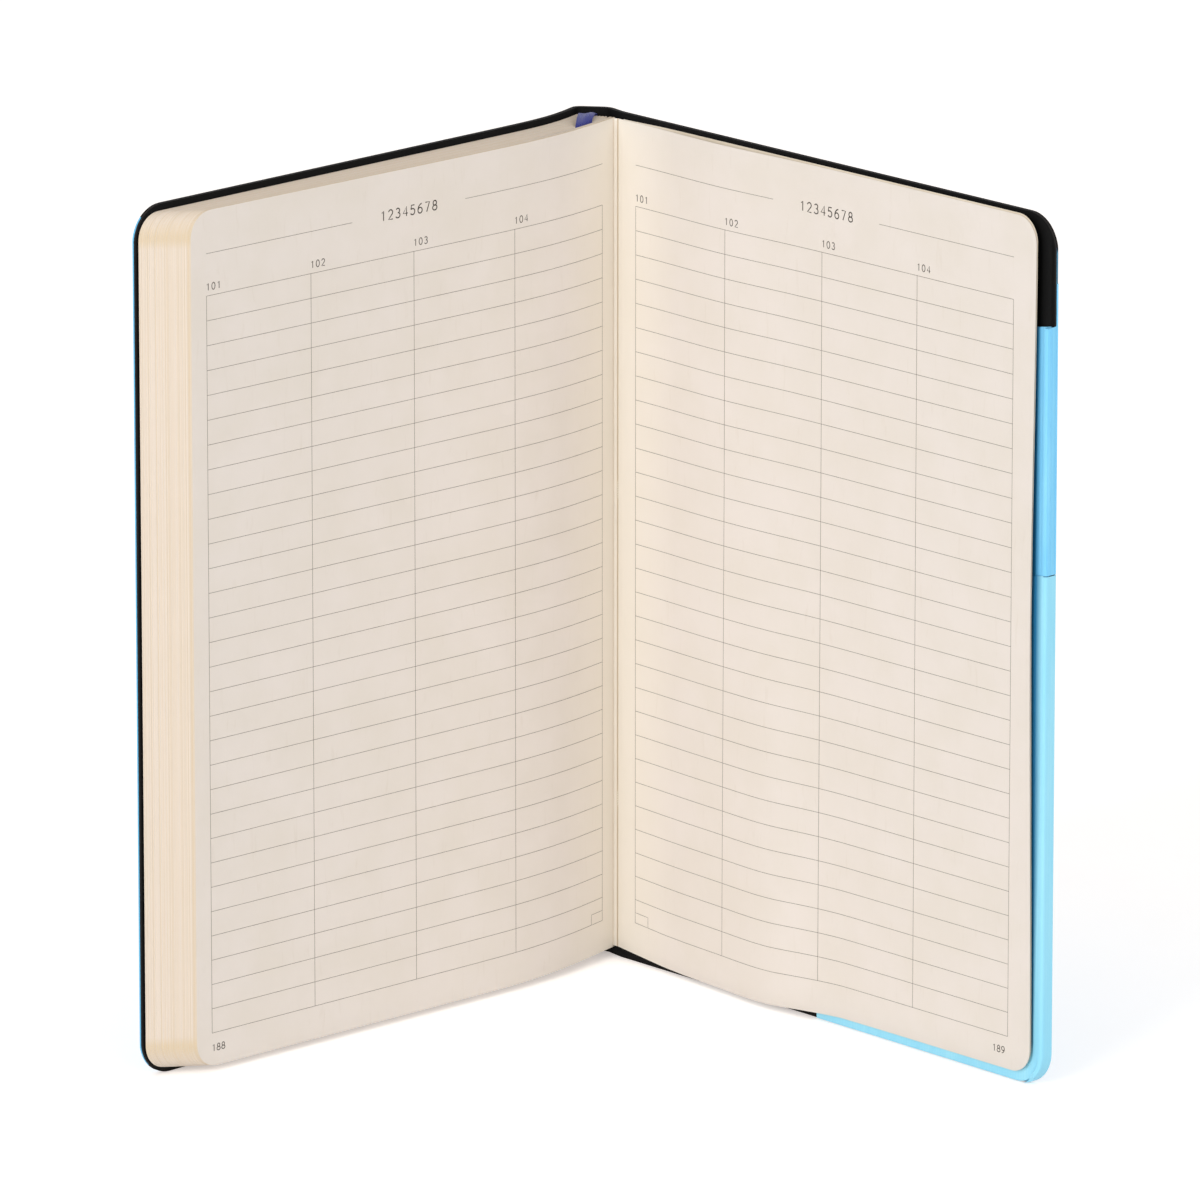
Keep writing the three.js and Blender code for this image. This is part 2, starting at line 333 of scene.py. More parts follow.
def sheet_columns(start, stop, corner, bend_end=0.0, fine=1.2, coarse=6.0, rounding=0.1):
    """(s, cut at head and foot, inset of the faces) along a sheet, up to its rounded outer end."""
    stations = []
    if bend_end > start:
        stations += spread(start, bend_end, fine)[:-1]
        start = bend_end
    stations += spread(start, stop - corner, coarse)[:-1]
    stations += corner_stations(stop - corner, corner, CORNER_STEPS)
    stations = [s for s in stations if s < stop - 1.5 * rounding]
    stations += [stop - rounding, stop - 0.3 * rounding, stop]
    columns = []
    for s in stations:
        cut = arc_cut(max(s - (stop - corner), 0.0), corner)
        inset = arc_cut(max(s - (stop - rounding), 0.0), rounding)
        columns.append((s, cut, inset))
    return columns


def sheet(name, curve_place, columns, low, high, layer, radius, materials, rows=0, rim_until=None):
    """Upright sheet between two offsets. low(s, cut) and high(s, cut) are its foot and head."""
    outer, inner = layer
    rings = []
    for s, cut, inset in columns:
        foot, head = low(s, cut) + inset, high(s, cut) - inset
        rings.append(ring_of(curve_place, s, foot, head, outer + inset, inner - inset, radius, rows))
    if rim_until is None:
        return loft(name, rings, materials)
    return loft(name, rings, materials, rim_sides(rows), rim_until)


def rim_sides(rows):
    """Which sides of a ring_of ring lie on its head and foot."""
    corner = RING_STEPS + 1
    head = set(range(0, 2 * corner - 1))
    foot_start = 2 * corner + rows
    return head | set(range(foot_start, foot_start + 2 * corner - 1))


def on(curve):
    return lambda s, offset, z: curve.point(s, offset)


# Materials. Patterns follow the sheet's own distances (UV map "sheet", in metres) or the
# object's coordinates.
class Nodes:
    """Short way to write the node tree of a material or a world around its shader."""

    def __init__(self, name, kind="materials", shader="Principled BSDF"):
        self.owner = getattr(bpy.data, kind).new(name)
        self.owner.use_nodes = True
        self.tree = self.owner.node_tree
        self.shader = self.tree.nodes[shader]

    def add(self, kind, inputs=None, **settings):
        node = self.tree.nodes.new("ShaderNode" + kind)
        for key, value in settings.items():
            setattr(node, key, value)
        for key, value in (inputs or {}).items():
            self.set(node.inputs[key], value)
        return node

    def set(self, socket, value):
        if isinstance(value, bpy.types.NodeSocket):
            self.tree.links.new(value, socket)
        else:
            socket.default_value = value

    def object_place(self, scale=(1, 1, 1)):
        place = self.add("TexCoord").outputs["Object"]
        return self.add("Mapping", {"Vector": place, "Scale": scale}).outputs["Vector"]

    def sheet_place(self, scale=(1, 1, 1), turn=0.0):
        place = self.add("UVMap", uv_map="sheet").outputs["UV"]
        rotation = (0, 0, math.radians(turn))
        return self.add("Mapping", {"Vector": place, "Scale": scale, "Rotation": rotation}).outputs["Vector"]

    def sheet_axes(self):
        return self.add("SeparateXYZ", {0: self.add("UVMap", uv_map="sheet").outputs["UV"]}).outputs

    def noise(self, place, scale, detail=3.0, roughness=0.55, distortion=0.0):
        values = {"Vector": place, "Scale": scale, "Detail": detail}
        values.update({"Roughness": roughness, "Distortion": distortion})
        return self.add("TexNoise", values).outputs["Fac"]

    def wave(self, place, pitch, direction="X", distortion=0.0):
        """Bands at a pitch in millimetres."""
        scale = 1.0 / (pitch * MM * math.pi)
        values = {"Vector": place, "Scale": scale, "Distortion": distortion, "Detail": 1.0}
        return self.add("TexWave", values, bands_direction=direction).outputs["Fac"]

    def math(self, operation, a, b=0.0):
        return self.add("Math", {0: a, 1: b}, operation=operation).outputs[0]

    def span(self, value, low, high, to_low=0.0, to_high=1.0):
        values = {"Value": value, "From Min": low, "From Max": high, "To Min": to_low, "To Max": to_high}
        return self.add("MapRange", values).outputs["Result"]

    def most(self, a, b):
        return self.math("MAXIMUM", a, b)

    def times(self, a, b):
        return self.math("MULTIPLY", a, b)

    def distance(self, a, b):
        return self.math("ABSOLUTE", self.math("SUBTRACT", a, b))

    def blend(self, share, a, b):
        node = self.add("Mix", data_type="RGBA")
        for socket, value in ((node.inputs[0], share), (node.inputs[6], a), (node.inputs[7], b)):
            self.set(socket, value)
        return node.outputs[2]

    def bump(self, height, strength, distance, normal=None):
        values = {"Height": height, "Strength": strength, "Distance": distance}
        if normal is not None:
            values["Normal"] = normal
        return self.add("Bump", values).outputs["Normal"]

    def finish(self, color, roughness, normal, **constants):
        self.set(self.shader.inputs["Base Color"], color)
        self.set(self.shader.inputs["Roughness"], roughness)
        self.set(self.shader.inputs["Normal"], normal)
        for key, value in constants.items():
            self.shader.inputs[key.replace("_", " ")].default_value = value
        return self.owner


def srgb(red, green, blue):
    def linear(value):
        value /= 255
        return value / 12.92 if value <= 0.04045 else ((value + 0.055) / 1.055) ** 2.4

    return (linear(red), linear(green), linear(blue), 1.0)


def paper(name, light, dark, fibre=1.0):
    """Uncoated cream paper: cloudy formation, short fibres and a dry, toothy surface."""
    n = Nodes(name)
    place = n.object_place()
    clouds = n.noise(place, 70.0, 4.0)
    tooth = n.noise(n.object_place((1, 1, 0.35)), 1500.0, 2.0)
    fibres = n.noise(n.object_place((1, 1, 0.15)), 700.0, 3.0, distortion=0.6)
    shade = n.blend(n.span(clouds, 0.35, 0.65), dark, light)
    flecks = n.span(fibres, 0.62, 0.78, 0.0, 0.10 * fibre)
    shade = n.blend(flecks, shade, srgb(188, 170, 140))
    along = n.sheet_axes()["X"]
    # Painted light: the paper turns a lighter cream towards the gutter, within about 22 mm of it.
    shade = n.blend(n.span(along, 0.022, 0.002, 0.0, 0.6), shade, srgb(246, 238, 223))
    # Painted shade: a thin brown line at CREASE_AT along each sheet, standing for the shade in the last
    # leaf's crease.
    off_crease = n.distance(along, CREASE_AT * MM)
    shade = n.blend(n.span(off_crease, 0.00035, 0.0001, 0.0, 0.55), shade, srgb(196, 168, 124))
    rough = n.span(tooth, 0.3, 0.7, 0.82, 0.94)
    normal = n.bump(n.noise(place, 45.0, 3.0), 0.06, 0.0012)
    normal = n.bump(tooth, 0.18, 0.00004, normal)
    return n.finish(shade, rough, normal, Specular_IOR_Level=0.25, Sheen_Weight=0.05)


def paper_edge(name):
    """Trimmed edges of the leaves: each leaf a little lighter or yellower than its neighbour."""
    n = Nodes(name)
    tone = n.add("Attribute", attribute_name="leaf_tone").outputs["Fac"]
    long_fibres = n.noise(n.object_place((1, 1, 0.02)), 1800.0, 3.0)
    dark_leaf = n.math("POWER", tone, 3.0)
    shade = n.blend(dark_leaf, srgb(234, 218, 201), srgb(219, 196, 162))
    shade = n.blend(n.span(long_fibres, 0.4, 0.7, 0.0, 0.3), shade, srgb(227, 209, 184))
    # Painted shade: a darker, yellower band on the trimmed edges where they turn round the page corners, at
    # head and foot.
    reach = n.distance(n.sheet_axes()["Y"], (PAGE_HEIGHT / 2 + PAGE_FOOT) * MM)
    bend = (PAGE_HEIGHT / 2 - PAGE_CORNER) * MM
    painted_corner_shade = n.times(n.span(reach, bend - 0.002, bend), n.span(reach, bend + 0.0045, bend + 0.001))
    shade = n.blend(n.times(painted_corner_shade, 0.7), shade, srgb(219, 194, 150))
    rough = n.span(long_fibres, 0.3, 0.7, 0.85, 0.95)
    normal = n.bump(n.noise(n.object_place((1, 1, 0.05)), 2500.0, 2.0), 0.25, 0.00005)
    return n.finish(shade, rough, normal, Specular_IOR_Level=0.2)


def leatherette(name, light, dark, grain=2600.0, depth=0.00005):
    """Thin coated cover cloth: pebbled grain, darker in the valleys, a soft polish on the peaks."""
    n = Nodes(name)
    place = n.object_place()
    bent = n.add("Mapping", {"Vector": place, "Rotation": (0.3, 0.2, 0.7)}).outputs["Vector"]
    pebbles = n.add("TexVoronoi", {"Vector": bent, "Scale": grain}, feature="SMOOTH_F1").outputs["Distance"]
    cloud = n.noise(place, 60.0, 3.0)
    fine = n.noise(place, grain * 2.2, 2.0)
    shade = n.blend(n.span(cloud, 0.3, 0.7), dark, light)
    shade = n.blend(n.span(pebbles, 0.2, 0.75, 0.0, 0.18), shade, dark)
    rough = n.math("ADD", n.span(pebbles, 0.1, 0.8, 0.42, 0.58), n.span(fine, 0.3, 0.7, -0.03, 0.03))
    normal = n.bump(n.span(pebbles, 0.0, 0.8, 1.0, 0.0), 0.35, depth)
    normal = n.bump(fine, 0.15, depth * 0.4, normal)
    return n.finish(shade, rough, normal, Specular_IOR_Level=0.4, Coat_Weight=0.04, Coat_Roughness=0.35)


def ribbed(name, light, dark, pitch, depth, shadow_places):
    """Coated pocket paper with fine upright ribs, a little darker between them, and a painted shadow beside
    the page's edge.
    """
    n = Nodes(name)
    place = n.sheet_place()
    ribs = n.wave(place, pitch, "X", 0.4)
    cloud = n.noise(n.sheet_place((1, 0.12, 1)), 160.0, 3.0)
    grit = n.noise(n.object_place(), 2600.0, 2.0)
    shade = n.blend(n.span(cloud, 0.3, 0.7), dark, light)
    shade = n.blend(n.span(ribs, 0.45, 0.0, 0.0, 0.28), shade, dark)
    # Painted shadow: a dark blue upright band where the page's edge shades the pocket, wider higher up and
    # fading out at the foot.
    spot = n.sheet_axes()
    start, full, fading, end_low, end_high = (s * MM for s in shadow_places)
    end = n.span(spot["Y"], *(z * MM for z in POCKET_SHADOW_WIDENS), end_low, end_high)
    fold = n.times(n.span(spot["X"], start, full), n.span(spot["X"], end, fading))
    fold = n.times(fold, n.span(spot["Y"], *(z * MM for z in POCKET_SHADOW_FOOT)))
    shade = n.blend(n.times(fold, 0.96), shade, srgb(3, 106, 154))
    rough = n.span(grit, 0.3, 0.7, 0.46, 0.6)
    normal = n.bump(ribs, 0.5, depth)
    normal = n.bump(grit, 0.12, 0.00003, normal)
    return n.finish(shade, rough, normal, Specular_IOR_Level=0.35, Sheen_Weight=0.06)


def black_paper(name, tone, worn):
    """Black lining paper: a faint felt texture, a little greyer where it is rubbed."""
    n = Nodes(name)
    place = n.object_place()
    felt = n.noise(place, 1800.0, 3.0)
    rub = n.noise(place, 90.0, 4.0, 0.65)
    shade = n.blend(n.span(rub, 0.45, 0.75, 0.0, 0.45), tone, worn)
    shade = n.blend(n.span(felt, 0.55, 0.8, 0.0, 0.3), shade, worn)
    rough = n.span(felt, 0.3, 0.7, 0.55, 0.72)
    normal = n.bump(felt, 0.3, 0.00004)
    return n.finish(shade, rough, normal, Specular_IOR_Level=0.1)


def board_edge():
    """Cut edge of the thin black board, with its pressed layers."""
    n = Nodes("pressed_board")
    layers = n.noise(n.sheet_place(), 900.0, 3.0, distortion=1.0)
    specks = n.noise(n.object_place(), 3200.0, 2.0)
    shade = n.blend(n.span(layers, 0.35, 0.7), srgb(24, 20, 20), srgb(42, 37, 36))
    shade = n.blend(n.span(specks, 0.62, 0.75, 0.0, 0.4), shade, srgb(78, 70, 66))
    normal = n.bump(specks, 0.4, 0.00006)
    return n.finish(shade, n.span(layers, 0.3, 0.7, 0.75, 0.9), normal, Specular_IOR_Level=0.25)


def satin_ribbon():
    """Woven marker ribbon: fine warp threads with a silky gleam, lighter threads at intervals that also
    serve as painted glints.
    """
    n = Nodes("satin_ribbon")
    warp = n.wave(n.sheet_place(), 0.17, "X", 0.6)
    weft = n.wave(n.sheet_place(), 0.28, "Y", 0.8)
    slubs_and_glints = n.noise(n.sheet_place((1, 0.16, 1)), 1700.0, 3.0)
    shade = n.blend(n.span(warp, 0.2, 0.9), srgb(30, 34, 112), srgb(54, 62, 158))
    shade = n.blend(n.span(weft, 0.75, 0.95, 0.0, 0.25), shade, srgb(24, 28, 96))
    # Lighter slub threads, partly painted glints.
    shade = n.blend(n.span(slubs_and_glints, 0.62, 0.72, 0.0, 0.8), shade, srgb(128, 134, 212))
    height = n.math("ADD", warp, n.times(weft, 0.6))
    normal = n.bump(height, 0.6, 0.00006)
    rough = n.span(slubs_and_glints, 0.3, 0.7, 0.3, 0.5)
    return n.finish(shade, rough, normal, Specular_IOR_Level=0.3, Sheen_Weight=0.05, Sheen_Roughness=0.4)


def spun_thread(name, light, dark, pitch=0.5):
    """Twisted thread or open gauze yarn."""
    n = Nodes(name)
    twist = n.wave(n.sheet_place(turn=35.0), pitch, "X", 0.5)
    fuzz = n.noise(n.object_place(), 4000.0, 3.0)
    shade = n.blend(n.span(twist, 0.2, 0.8), dark, light)
    shade = n.blend(n.span(fuzz, 0.5, 0.8, 0.0, 0.3), shade, dark)
    normal = n.bump(twist, 0.6, 0.00008)
    normal = n.bump(fuzz, 0.2, 0.00003, normal)
    return n.finish(shade, n.span(fuzz, 0.3, 0.7, 0.7, 0.9), normal, Sheen_Weight=0.2)


def printing_ink(name, dark, light, worn):
    """Grey ink that has sunk into the paper, broken up a little by its tooth."""
    n = Nodes(name)
    tooth = n.noise(n.object_place(), 2600.0, 3.0)
    patches = n.noise(n.object_place(), 260.0, 2.0)
    shade = n.blend(n.span(tooth, 0.35, 0.75), dark, light)
    shade = n.blend(n.span(patches, 0.45, 0.75, 0.0, 0.25), shade, worn)
    normal = n.bump(tooth, 0.15, 0.00003)
    return n.finish(shade, n.span(tooth, 0.3, 0.7, 0.7, 0.85), normal, Specular_IOR_Level=0.25)


PAGE = paper("page_paper", srgb(230, 221, 213), srgb(227, 218, 208))
FLYLEAF = paper("flyleaf_paper", srgb(229, 217, 197), srgb(221, 208, 187), 1.4)
EDGE = paper_edge("page_edges")
SKIN = leatherette("cover_skin_grain", srgb(112, 198, 240), srgb(100, 188, 234))
POCKET_FRONT = ribbed("pocket_front", srgb(168, 233, 253), srgb(148, 223, 250), 0.9, 0.00002, FRONT_PAINTED_SHADOW)
POCKET_RIBS = ribbed("pocket_ribs", srgb(146, 221, 253), srgb(114, 202, 250), 1.15, 0.00007, PLEAT_PAINTED_SHADOW)
LINING = black_paper("cover_lining_paper", srgb(6, 6, 6), srgb(15, 14, 14))
BOARD = board_edge()
RIM = black_paper("cover_rim", srgb(17, 14, 13), srgb(36, 31, 29))
RIBBON = satin_ribbon()
THREAD = spun_thread("linen_thread", srgb(240, 234, 220), srgb(206, 196, 176))
GAUZE = spun_thread("gauze_yarn", srgb(236, 232, 222), srgb(204, 198, 184), 0.35)
RULE_INK = printing_ink("rule_ink", srgb(112, 103, 94), srgb(134, 124, 114), srgb(152, 142, 130))
TYPE_INK = printing_ink("type_ink", srgb(58, 52, 46), srgb(78, 71, 64), srgb(98, 90, 82))


def place_piece(piece, body, replaced=None):
    """The piece moves with one body."""
    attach(piece, body)
    if replaced:
        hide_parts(replaced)


def bend_piece(piece, replaced=None):
    """Bakes the piece's placement into its mesh and hides the part it replaces."""
    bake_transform(piece)
    if replaced:
        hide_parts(replaced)


# Cover: skin, board and lining, each in three runs with hinge strips between them
SKIN_SEEN_AT_CORNER = 3.0
COVER_SWELL_END = 30.0
HINGE_STEPS = 12
HINGE_SPLITS = (0, 7, 9, HINGE_STEPS)  # HINGE_SPLITS = (0, 7, 9, HINGE_STEPS) # steps at which the back hinge is cut into its next piece
SPINE_BEND_REACH = 1.6
SPINE_BEND_STEPS = 8
LAYERS = (
    ("skin", SKIN_LAYER, SKIN, "cover_skin"),
    ("board", BOARD_LAYER, BOARD, "cover_board"),
    ("lining", LINING_LAYER, LINING, "cover_lining"),
)


def cover_foot(s, cut):
    return cut


def cover_head(s, cut):
    return COVER_HEIGHT - cut


def bezier(a, b, c, share):
    return a * (1 - share) ** 2 + b * 2 * share * (1 - share) + c * share * share


def hinge_path(start, start_inward, corner, stop, stop_inward, count):
    """Rounded run of the cover round a corner: middle points and directions towards the pages."""
    path = [(start, start_inward)]
    for i in range(1, count):
        share = i / count
        tangent = (corner - start) * (1 - share) + (stop - corner) * share
        inward = to_pages(tangent / np.linalg.norm(tangent))
        path.append((bezier(start, corner, stop, share), inward))
    return path + [(stop, stop_inward)]


def strip(name, path, layer, materials):
    """Upright strip along a path of (plan point, inward direction)."""
    rings = []
    travelled = 0.0
    previous = path[0][0]
    for point, inward in path:
        travelled += float(np.linalg.norm(point - previous))
        previous = point

        def place(s, offset, z, point=point, inward=inward):
            return point + inward * offset

        rings.append(ring_of(place, travelled, 0.0, COVER_HEIGHT, *layer, LAYER_ROUNDING))
    return loft(name, rings, materials, rim_sides(0))


def spine_path():
    start = front_corner + FLAT * HINGE_RELIEF
    before = front_corner + FLAT * (SPINE_FLAT - SPINE_BEND_REACH)
    after = spine_bend + SHOULDER * SPINE_BEND_REACH
    stop = spine_bend + SHOULDER * (SPINE_SHOULDER - HINGE_RELIEF)
    turn = hinge_path(before, to_pages(FLAT), spine_bend, after, to_pages(SHOULDER), SPINE_BEND_STEPS)
    return [(start, to_pages(FLAT))] + turn + [(stop, to_pages(SHOULDER))]


def front_hinge_path():
    start = front_cover.point(HINGE_RELIEF)
    stop = front_corner + FLAT * HINGE_RELIEF
    relief = front_cover.inward(HINGE_RELIEF)
    return hinge_path(start, relief, front_corner, stop, to_pages(FLAT), HINGE_STEPS)


def back_hinge_path():
    start = back_corner - SHOULDER * HINGE_RELIEF
    stop = back_cover.point(HINGE_RELIEF)
    inward = back_cover.inward(HINGE_RELIEF)
    return hinge_path(start, to_pages(SHOULDER), back_corner, stop, inward, HINGE_STEPS)


def make_cover():
    front = sheet_columns(HINGE_RELIEF, COVER_WIDTH, COVER_CORNER, COVER_SWELL_END, 1.4, 6.0, LAYER_ROUNDING)
    back = sheet_columns(HINGE_RELIEF, COVER_WIDTH, COVER_CORNER, rounding=LAYER_ROUNDING)
    runs = (
        ("front", front_cover, front, COVER_WIDTH - SKIN_SEEN_AT_CORNER),
        ("back", back_cover, back, math.inf),
    )
    for name, layer, material, slot in LAYERS:
        materials = [material, RIM if name == "skin" else material]
        for side, curve, columns, rim_until in runs:
            piece = sheet(
                f"{name}_{side}", on(curve), columns, cover_foot, cover_head, layer,
                LAYER_ROUNDING, materials, rim_until=rim_until,
            )
            place_piece(piece, f"{side}_cover", f"{side}_cover_{name}")
        piece = strip(f"{name}_spine", spine_path(), layer, materials)
        place_piece(piece, "text_block", f"spine_{name}")
    make_hinges()


def make_hinge(name, bodies, path, layer, materials, slot):
    piece = strip(name, path, layer, materials)
    bend_piece(piece)


def make_hinges():
    """The board stops at the hinges; skin and lining run on round them."""
    chain = ("text_block", "last_leaf", "back_flyleaf", "back_cover")
    covers = (
        ("skin", SKIN_LAYER, [SKIN, RIM], "cover_skin"),
        ("lining", (SKIN_LAYER[1], LINING_LAYER[1]), [LINING, LINING], "cover_lining"),
    )
    for name, *finish in covers:
        make_hinge(f"{name}_hinge_front", ("front_cover", "text_block"), front_hinge_path(), *finish)
        for i in range(len(chain) - 1):
            part = back_hinge_path()[HINGE_SPLITS[i] : HINGE_SPLITS[i + 1] + 1]
            make_hinge(f"{name}_hinge_back_{i + 1}", chain[i : i + 2], part, *finish)


# Sewn pages: every leaf is half of a folded sheet
SIGNATURE_THICKNESS = (BLOCK_THICKNESS - (SIGNATURES - 2) * SIGNATURE_GAP - RIBBON_SLOT) / SIGNATURES
SEWN_PITCH = SIGNATURE_THICKNESS / LEAVES_EACH
EVEN_PITCH = BLOCK_THICKNESS / (SIGNATURES * LEAVES_EACH)
SEWN_LIFT = 0.9
SEWN_LIFT_REACH = 42.0
LIFT_FADE = 28.0
GROUPED_TO = 16.0
EVEN_FROM = 52.0
FOLD_START = 0.4
FOLD_STEPS = 6
LEAF_RUNS = ((FOLD_START, 12.0, 1.3), (12.0, 54.0, 3.0))  # start, end and pitch of the rings
OUTER_PITCH = 12.0
FORE_EDGE_TRIM = 0.08
HEAD_TRIM = 0.05
LAST_SIGNATURE_TONE = 0.75  # its edges are yellower than the others


def signature_start(number):
    widening = RIBBON_SLOT - SIGNATURE_GAP if number >= RIBBON_AFTER else 0.0
    return number * (SIGNATURE_THICKNESS + SIGNATURE_GAP) + widening


def evenness(s):
    return smoothstep((s - GROUPED_TO) / (EVEN_FROM - GROUPED_TO))


def leaf_across(index, s):
    """Middle of a leaf across the block: grouped by signature at the back, even at the fore-edge."""
    number, k = divmod(index, LEAVES_EACH)
    sewn = signature_start(number) + (k + 0.5) * SEWN_PITCH
    return mix(sewn, (index + 0.5) * EVEN_PITCH, evenness(s))


def leaf_half(s):
    return 0.5 * LEAF_FILL * mix(SEWN_PITCH, EVEN_PITCH, evenness(s))


def leaf_stations(reach):
    stations = [s for run in LEAF_RUNS for s in spread(*run)[:-1]]
    stations += spread(LEAF_RUNS[-1][1], reach - PAGE_CORNER, OUTER_PITCH)[:-1]
    return stations + corner_stations(reach - PAGE_CORNER, PAGE_CORNER, CORNER_STEPS + 1)


def sewn_height(s, z):
    """The foot of the sewn leaves stands a little higher near the gutter."""
    return z + SEWN_LIFT * (1.0 - smoothstep(s / SEWN_LIFT_REACH)) * math.exp(-(z - PAGE_FOOT) / LIFT_FADE)


def leaf_rings(index):
    """Rings from the fold to the fore-edge of one leaf, trimmed a little unevenly."""
    share = (index + 0.5) / (SIGNATURES * LEAVES_EACH)
    reach = PAGE_WIDTH - FORE_EDGE_SLANT * share - random.uniform(0, FORE_EDGE_TRIM)
    head_cut = random.uniform(0, HEAD_TRIM)
    rings = []
    for s in leaf_stations(reach):
        cut = arc_cut(max(s - (reach - PAGE_CORNER), 0.0), PAGE_CORNER) + head_cut
        middle = leaf_across(index, s)
        half = leaf_half(s)
        low, high = sewn_height(s, PAGE_FOOT + cut), PAGE_HEAD - cut
        corners = ((-half, low), (-half, high), (half, high), (half, low))
        rings.append([(*block_point(s, middle + a), z, s, z) for a, z in corners])
    return rings


def fold_rings(number, k):
    """Rings round the fold that joins leaf k of a signature to its partner."""
    centre = signature_start(number) + SIGNATURE_THICKNESS / 2
    reach = (LEAVES_EACH / 2 - 0.5 - k) * SEWN_PITCH
    half = leaf_half(0)
    foot = sewn_height(0.0, PAGE_FOOT)
    rings = []
    for step in range(1, FOLD_STEPS):
        angle = math.radians(-90 + 180 * step / FOLD_STEPS)
        ring = []
        for part, z in ((half, foot), (half, PAGE_HEAD), (-half, PAGE_HEAD), (-half, foot)):
            radius = reach + part
            place = block_point(FOLD_START - radius * math.cos(angle), centre + radius * math.sin(angle))
            ring.append((*place, z, 0.0, z))
        rings.append(ring)
    return rings


def make_signature(number):
    """Four folded sheets. Their trimmed edges take the second material and a tone for each leaf."""
    points, faces, slots, tones = [], [], [], []
    least_tone = LAST_SIGNATURE_TONE if number == SIGNATURES - 1 else 0.0
    for k in range(LEAVES_EACH // 2):
        out = leaf_rings(number * LEAVES_EACH + k)
        back = leaf_rings((number + 1) * LEAVES_EACH - 1 - k)
        # A ring lists the outside of the fold first, so the partner's rings are mirrored
        rings = out[::-1] + fold_rings(number, k) + [ring[::-1] for ring in back]
        tone = [random.uniform(least_tone, 1.0), random.uniform(least_tone, 1.0)]
        faces += faces_between(rings, len(points))
        points += [point for ring in rings for point in ring]
        for i in range(len(rings) - 1):
            slots += [0, 1, 0, 1]
            tones += [tone[0] if i < len(out) else tone[1]] * 4
        slots += [1, 1]
        tones += tone
    piece = mesh_object(f"leaves_{number + 1:02d}", points, faces, [PAGE, EDGE], slots)
    attribute = piece.data.attributes.new("leaf_tone", "FLOAT", "FACE")
    attribute.data.foreach_set("value", tones)
    place_piece(piece, "text_block", f"signature_{number + 1:02d}")


# Loose leaves. The last leaf starts on the page beside it and has a crease where its plane begins.
LAST_LEAF_LAYER = (0.07, 0.2)
ROOT_STATIONS = (-0.45, -0.15, 0.15, 0.45, 0.74, 0.87, 1.0, 1.4)
ROOT_END = ROOT_STATIONS[-1]
FLYLEAF_START = 2.4
FLYLEAF_LAYER = (-0.3, -0.15)
FLYLEAF_HEAD_RISE = 0.35
FLYLEAF_HEAD_REACH = 20.0
FLYLEAF_LIFT = 0.2
LEAF_END = PAGE_WIDTH - 0.7
LEAF_ROUNDING = 0.04
LEAF_BEND_END = 90.0

# Bows of the last leaf: height, middle along the leaf, reach
ROOT_BOW = (1.2, 38.0, 20.0)
LOW_BOW = (1.9, 56.0, 13.0)
LOW_BOW_TOP = 150.0

# Hollow of the fore-edge: depth, middle height, reach, and where along the leaf it starts
MARGIN_HOLLOW = (1.25, 108.0, 60.0)
MARGIN_START = 138.2

# Foot of the last leaf: lifted at the gutter, low where it bows forward, lifted over the pocket
FOOT_STATIONS = (0.0, 6.0, 12.0, 18.0, 26.0, 45.0, 58.0, 70.0, 80.0, 100.0, 146.0)
FOOT_LIFTS = (1.35, 0.75, 0.2, -0.3, -0.6, -0.8, -0.7, -0.1, 0.45, 0.5, 0.45)


# Start of the last leaf: its place on the page beside it, and offsets about the crease
ROOT_PLACE = (0.75, 0.05)
ROOT_ARCH = 0.1
ROOT_OFFSETS = (0.14, -0.24, 0.08, 0.0)  # before, in and after the crease


def root_points():
    """Plan points of the start of the last leaf: from the page beside it to its own plane."""
    inward = leaf.inward(0)
    first = last_page.point(ROOT_PLACE[0]) + last_page.inward(0) * ROOT_PLACE[1]
    line = [leaf.point(s) + inward * offset for s, offset in zip(ROOT_STATIONS[4:], ROOT_OFFSETS)]
    arch = [mix(first, line[0], i / 4) + inward * ROOT_ARCH * math.sin(math.pi * i / 4) for i in range(5)]
    return np.array(arch + line[1:])


root_line = root_points()


def hump(s, height, middle, reach):
    return height * math.exp(-(((s - middle) / reach) ** 2))


def last_leaf_swell(s, z):
    """How far the leaf bows forward of its plane, more at its lower half."""
    low = 1.0 - smoothstep((z - PAGE_FOOT) / LOW_BOW_TOP)
    return hump(s, *ROOT_BOW) + low * hump(s, *LOW_BOW)


def margin_pull(s, z):
    """The fore-edge of the loose leaves is hollow at mid height."""
    return hump(z, *MARGIN_HOLLOW) * smoothstep((s - MARGIN_START) / (LEAF_END - MARGIN_START))


def last_leaf_place(s, offset, z):
    if s < ROOT_END:
        base = np.array([np.interp(s, ROOT_STATIONS, root_line[:, axis]) for axis in (0, 1)])
        return base + leaf.inward(0) * offset
    return leaf.point(s - margin_pull(s, z), offset + last_leaf_swell(s, z))


def flyleaf_place(s, offset, z):
    return leaf.point(s - margin_pull(s, z), offset)


def rise_at(s):
    return LEAF_RISE * max(s, 0.0) / PAGE_WIDTH


def leaf_height(s, z):
    """Where a point at height z of the flat sheet stands on the last leaf."""
    lift = float(np.interp(s, FOOT_STATIONS, FOOT_LIFTS))
    return z + rise_at(s) + lift * math.exp(-(z - PAGE_FOOT) / LIFT_FADE)


def follow_leaf_root(piece, replaced=None):
    """A piece at the root of the last leaf: its placement is baked into its mesh as bend_piece does."""
    bend_piece(piece, replaced)


def flyleaf_head(s, cut):
    return PAGE_HEAD + FLYLEAF_HEAD_RISE * smoothstep(s / FLYLEAF_HEAD_REACH) + rise_at(s) - cut


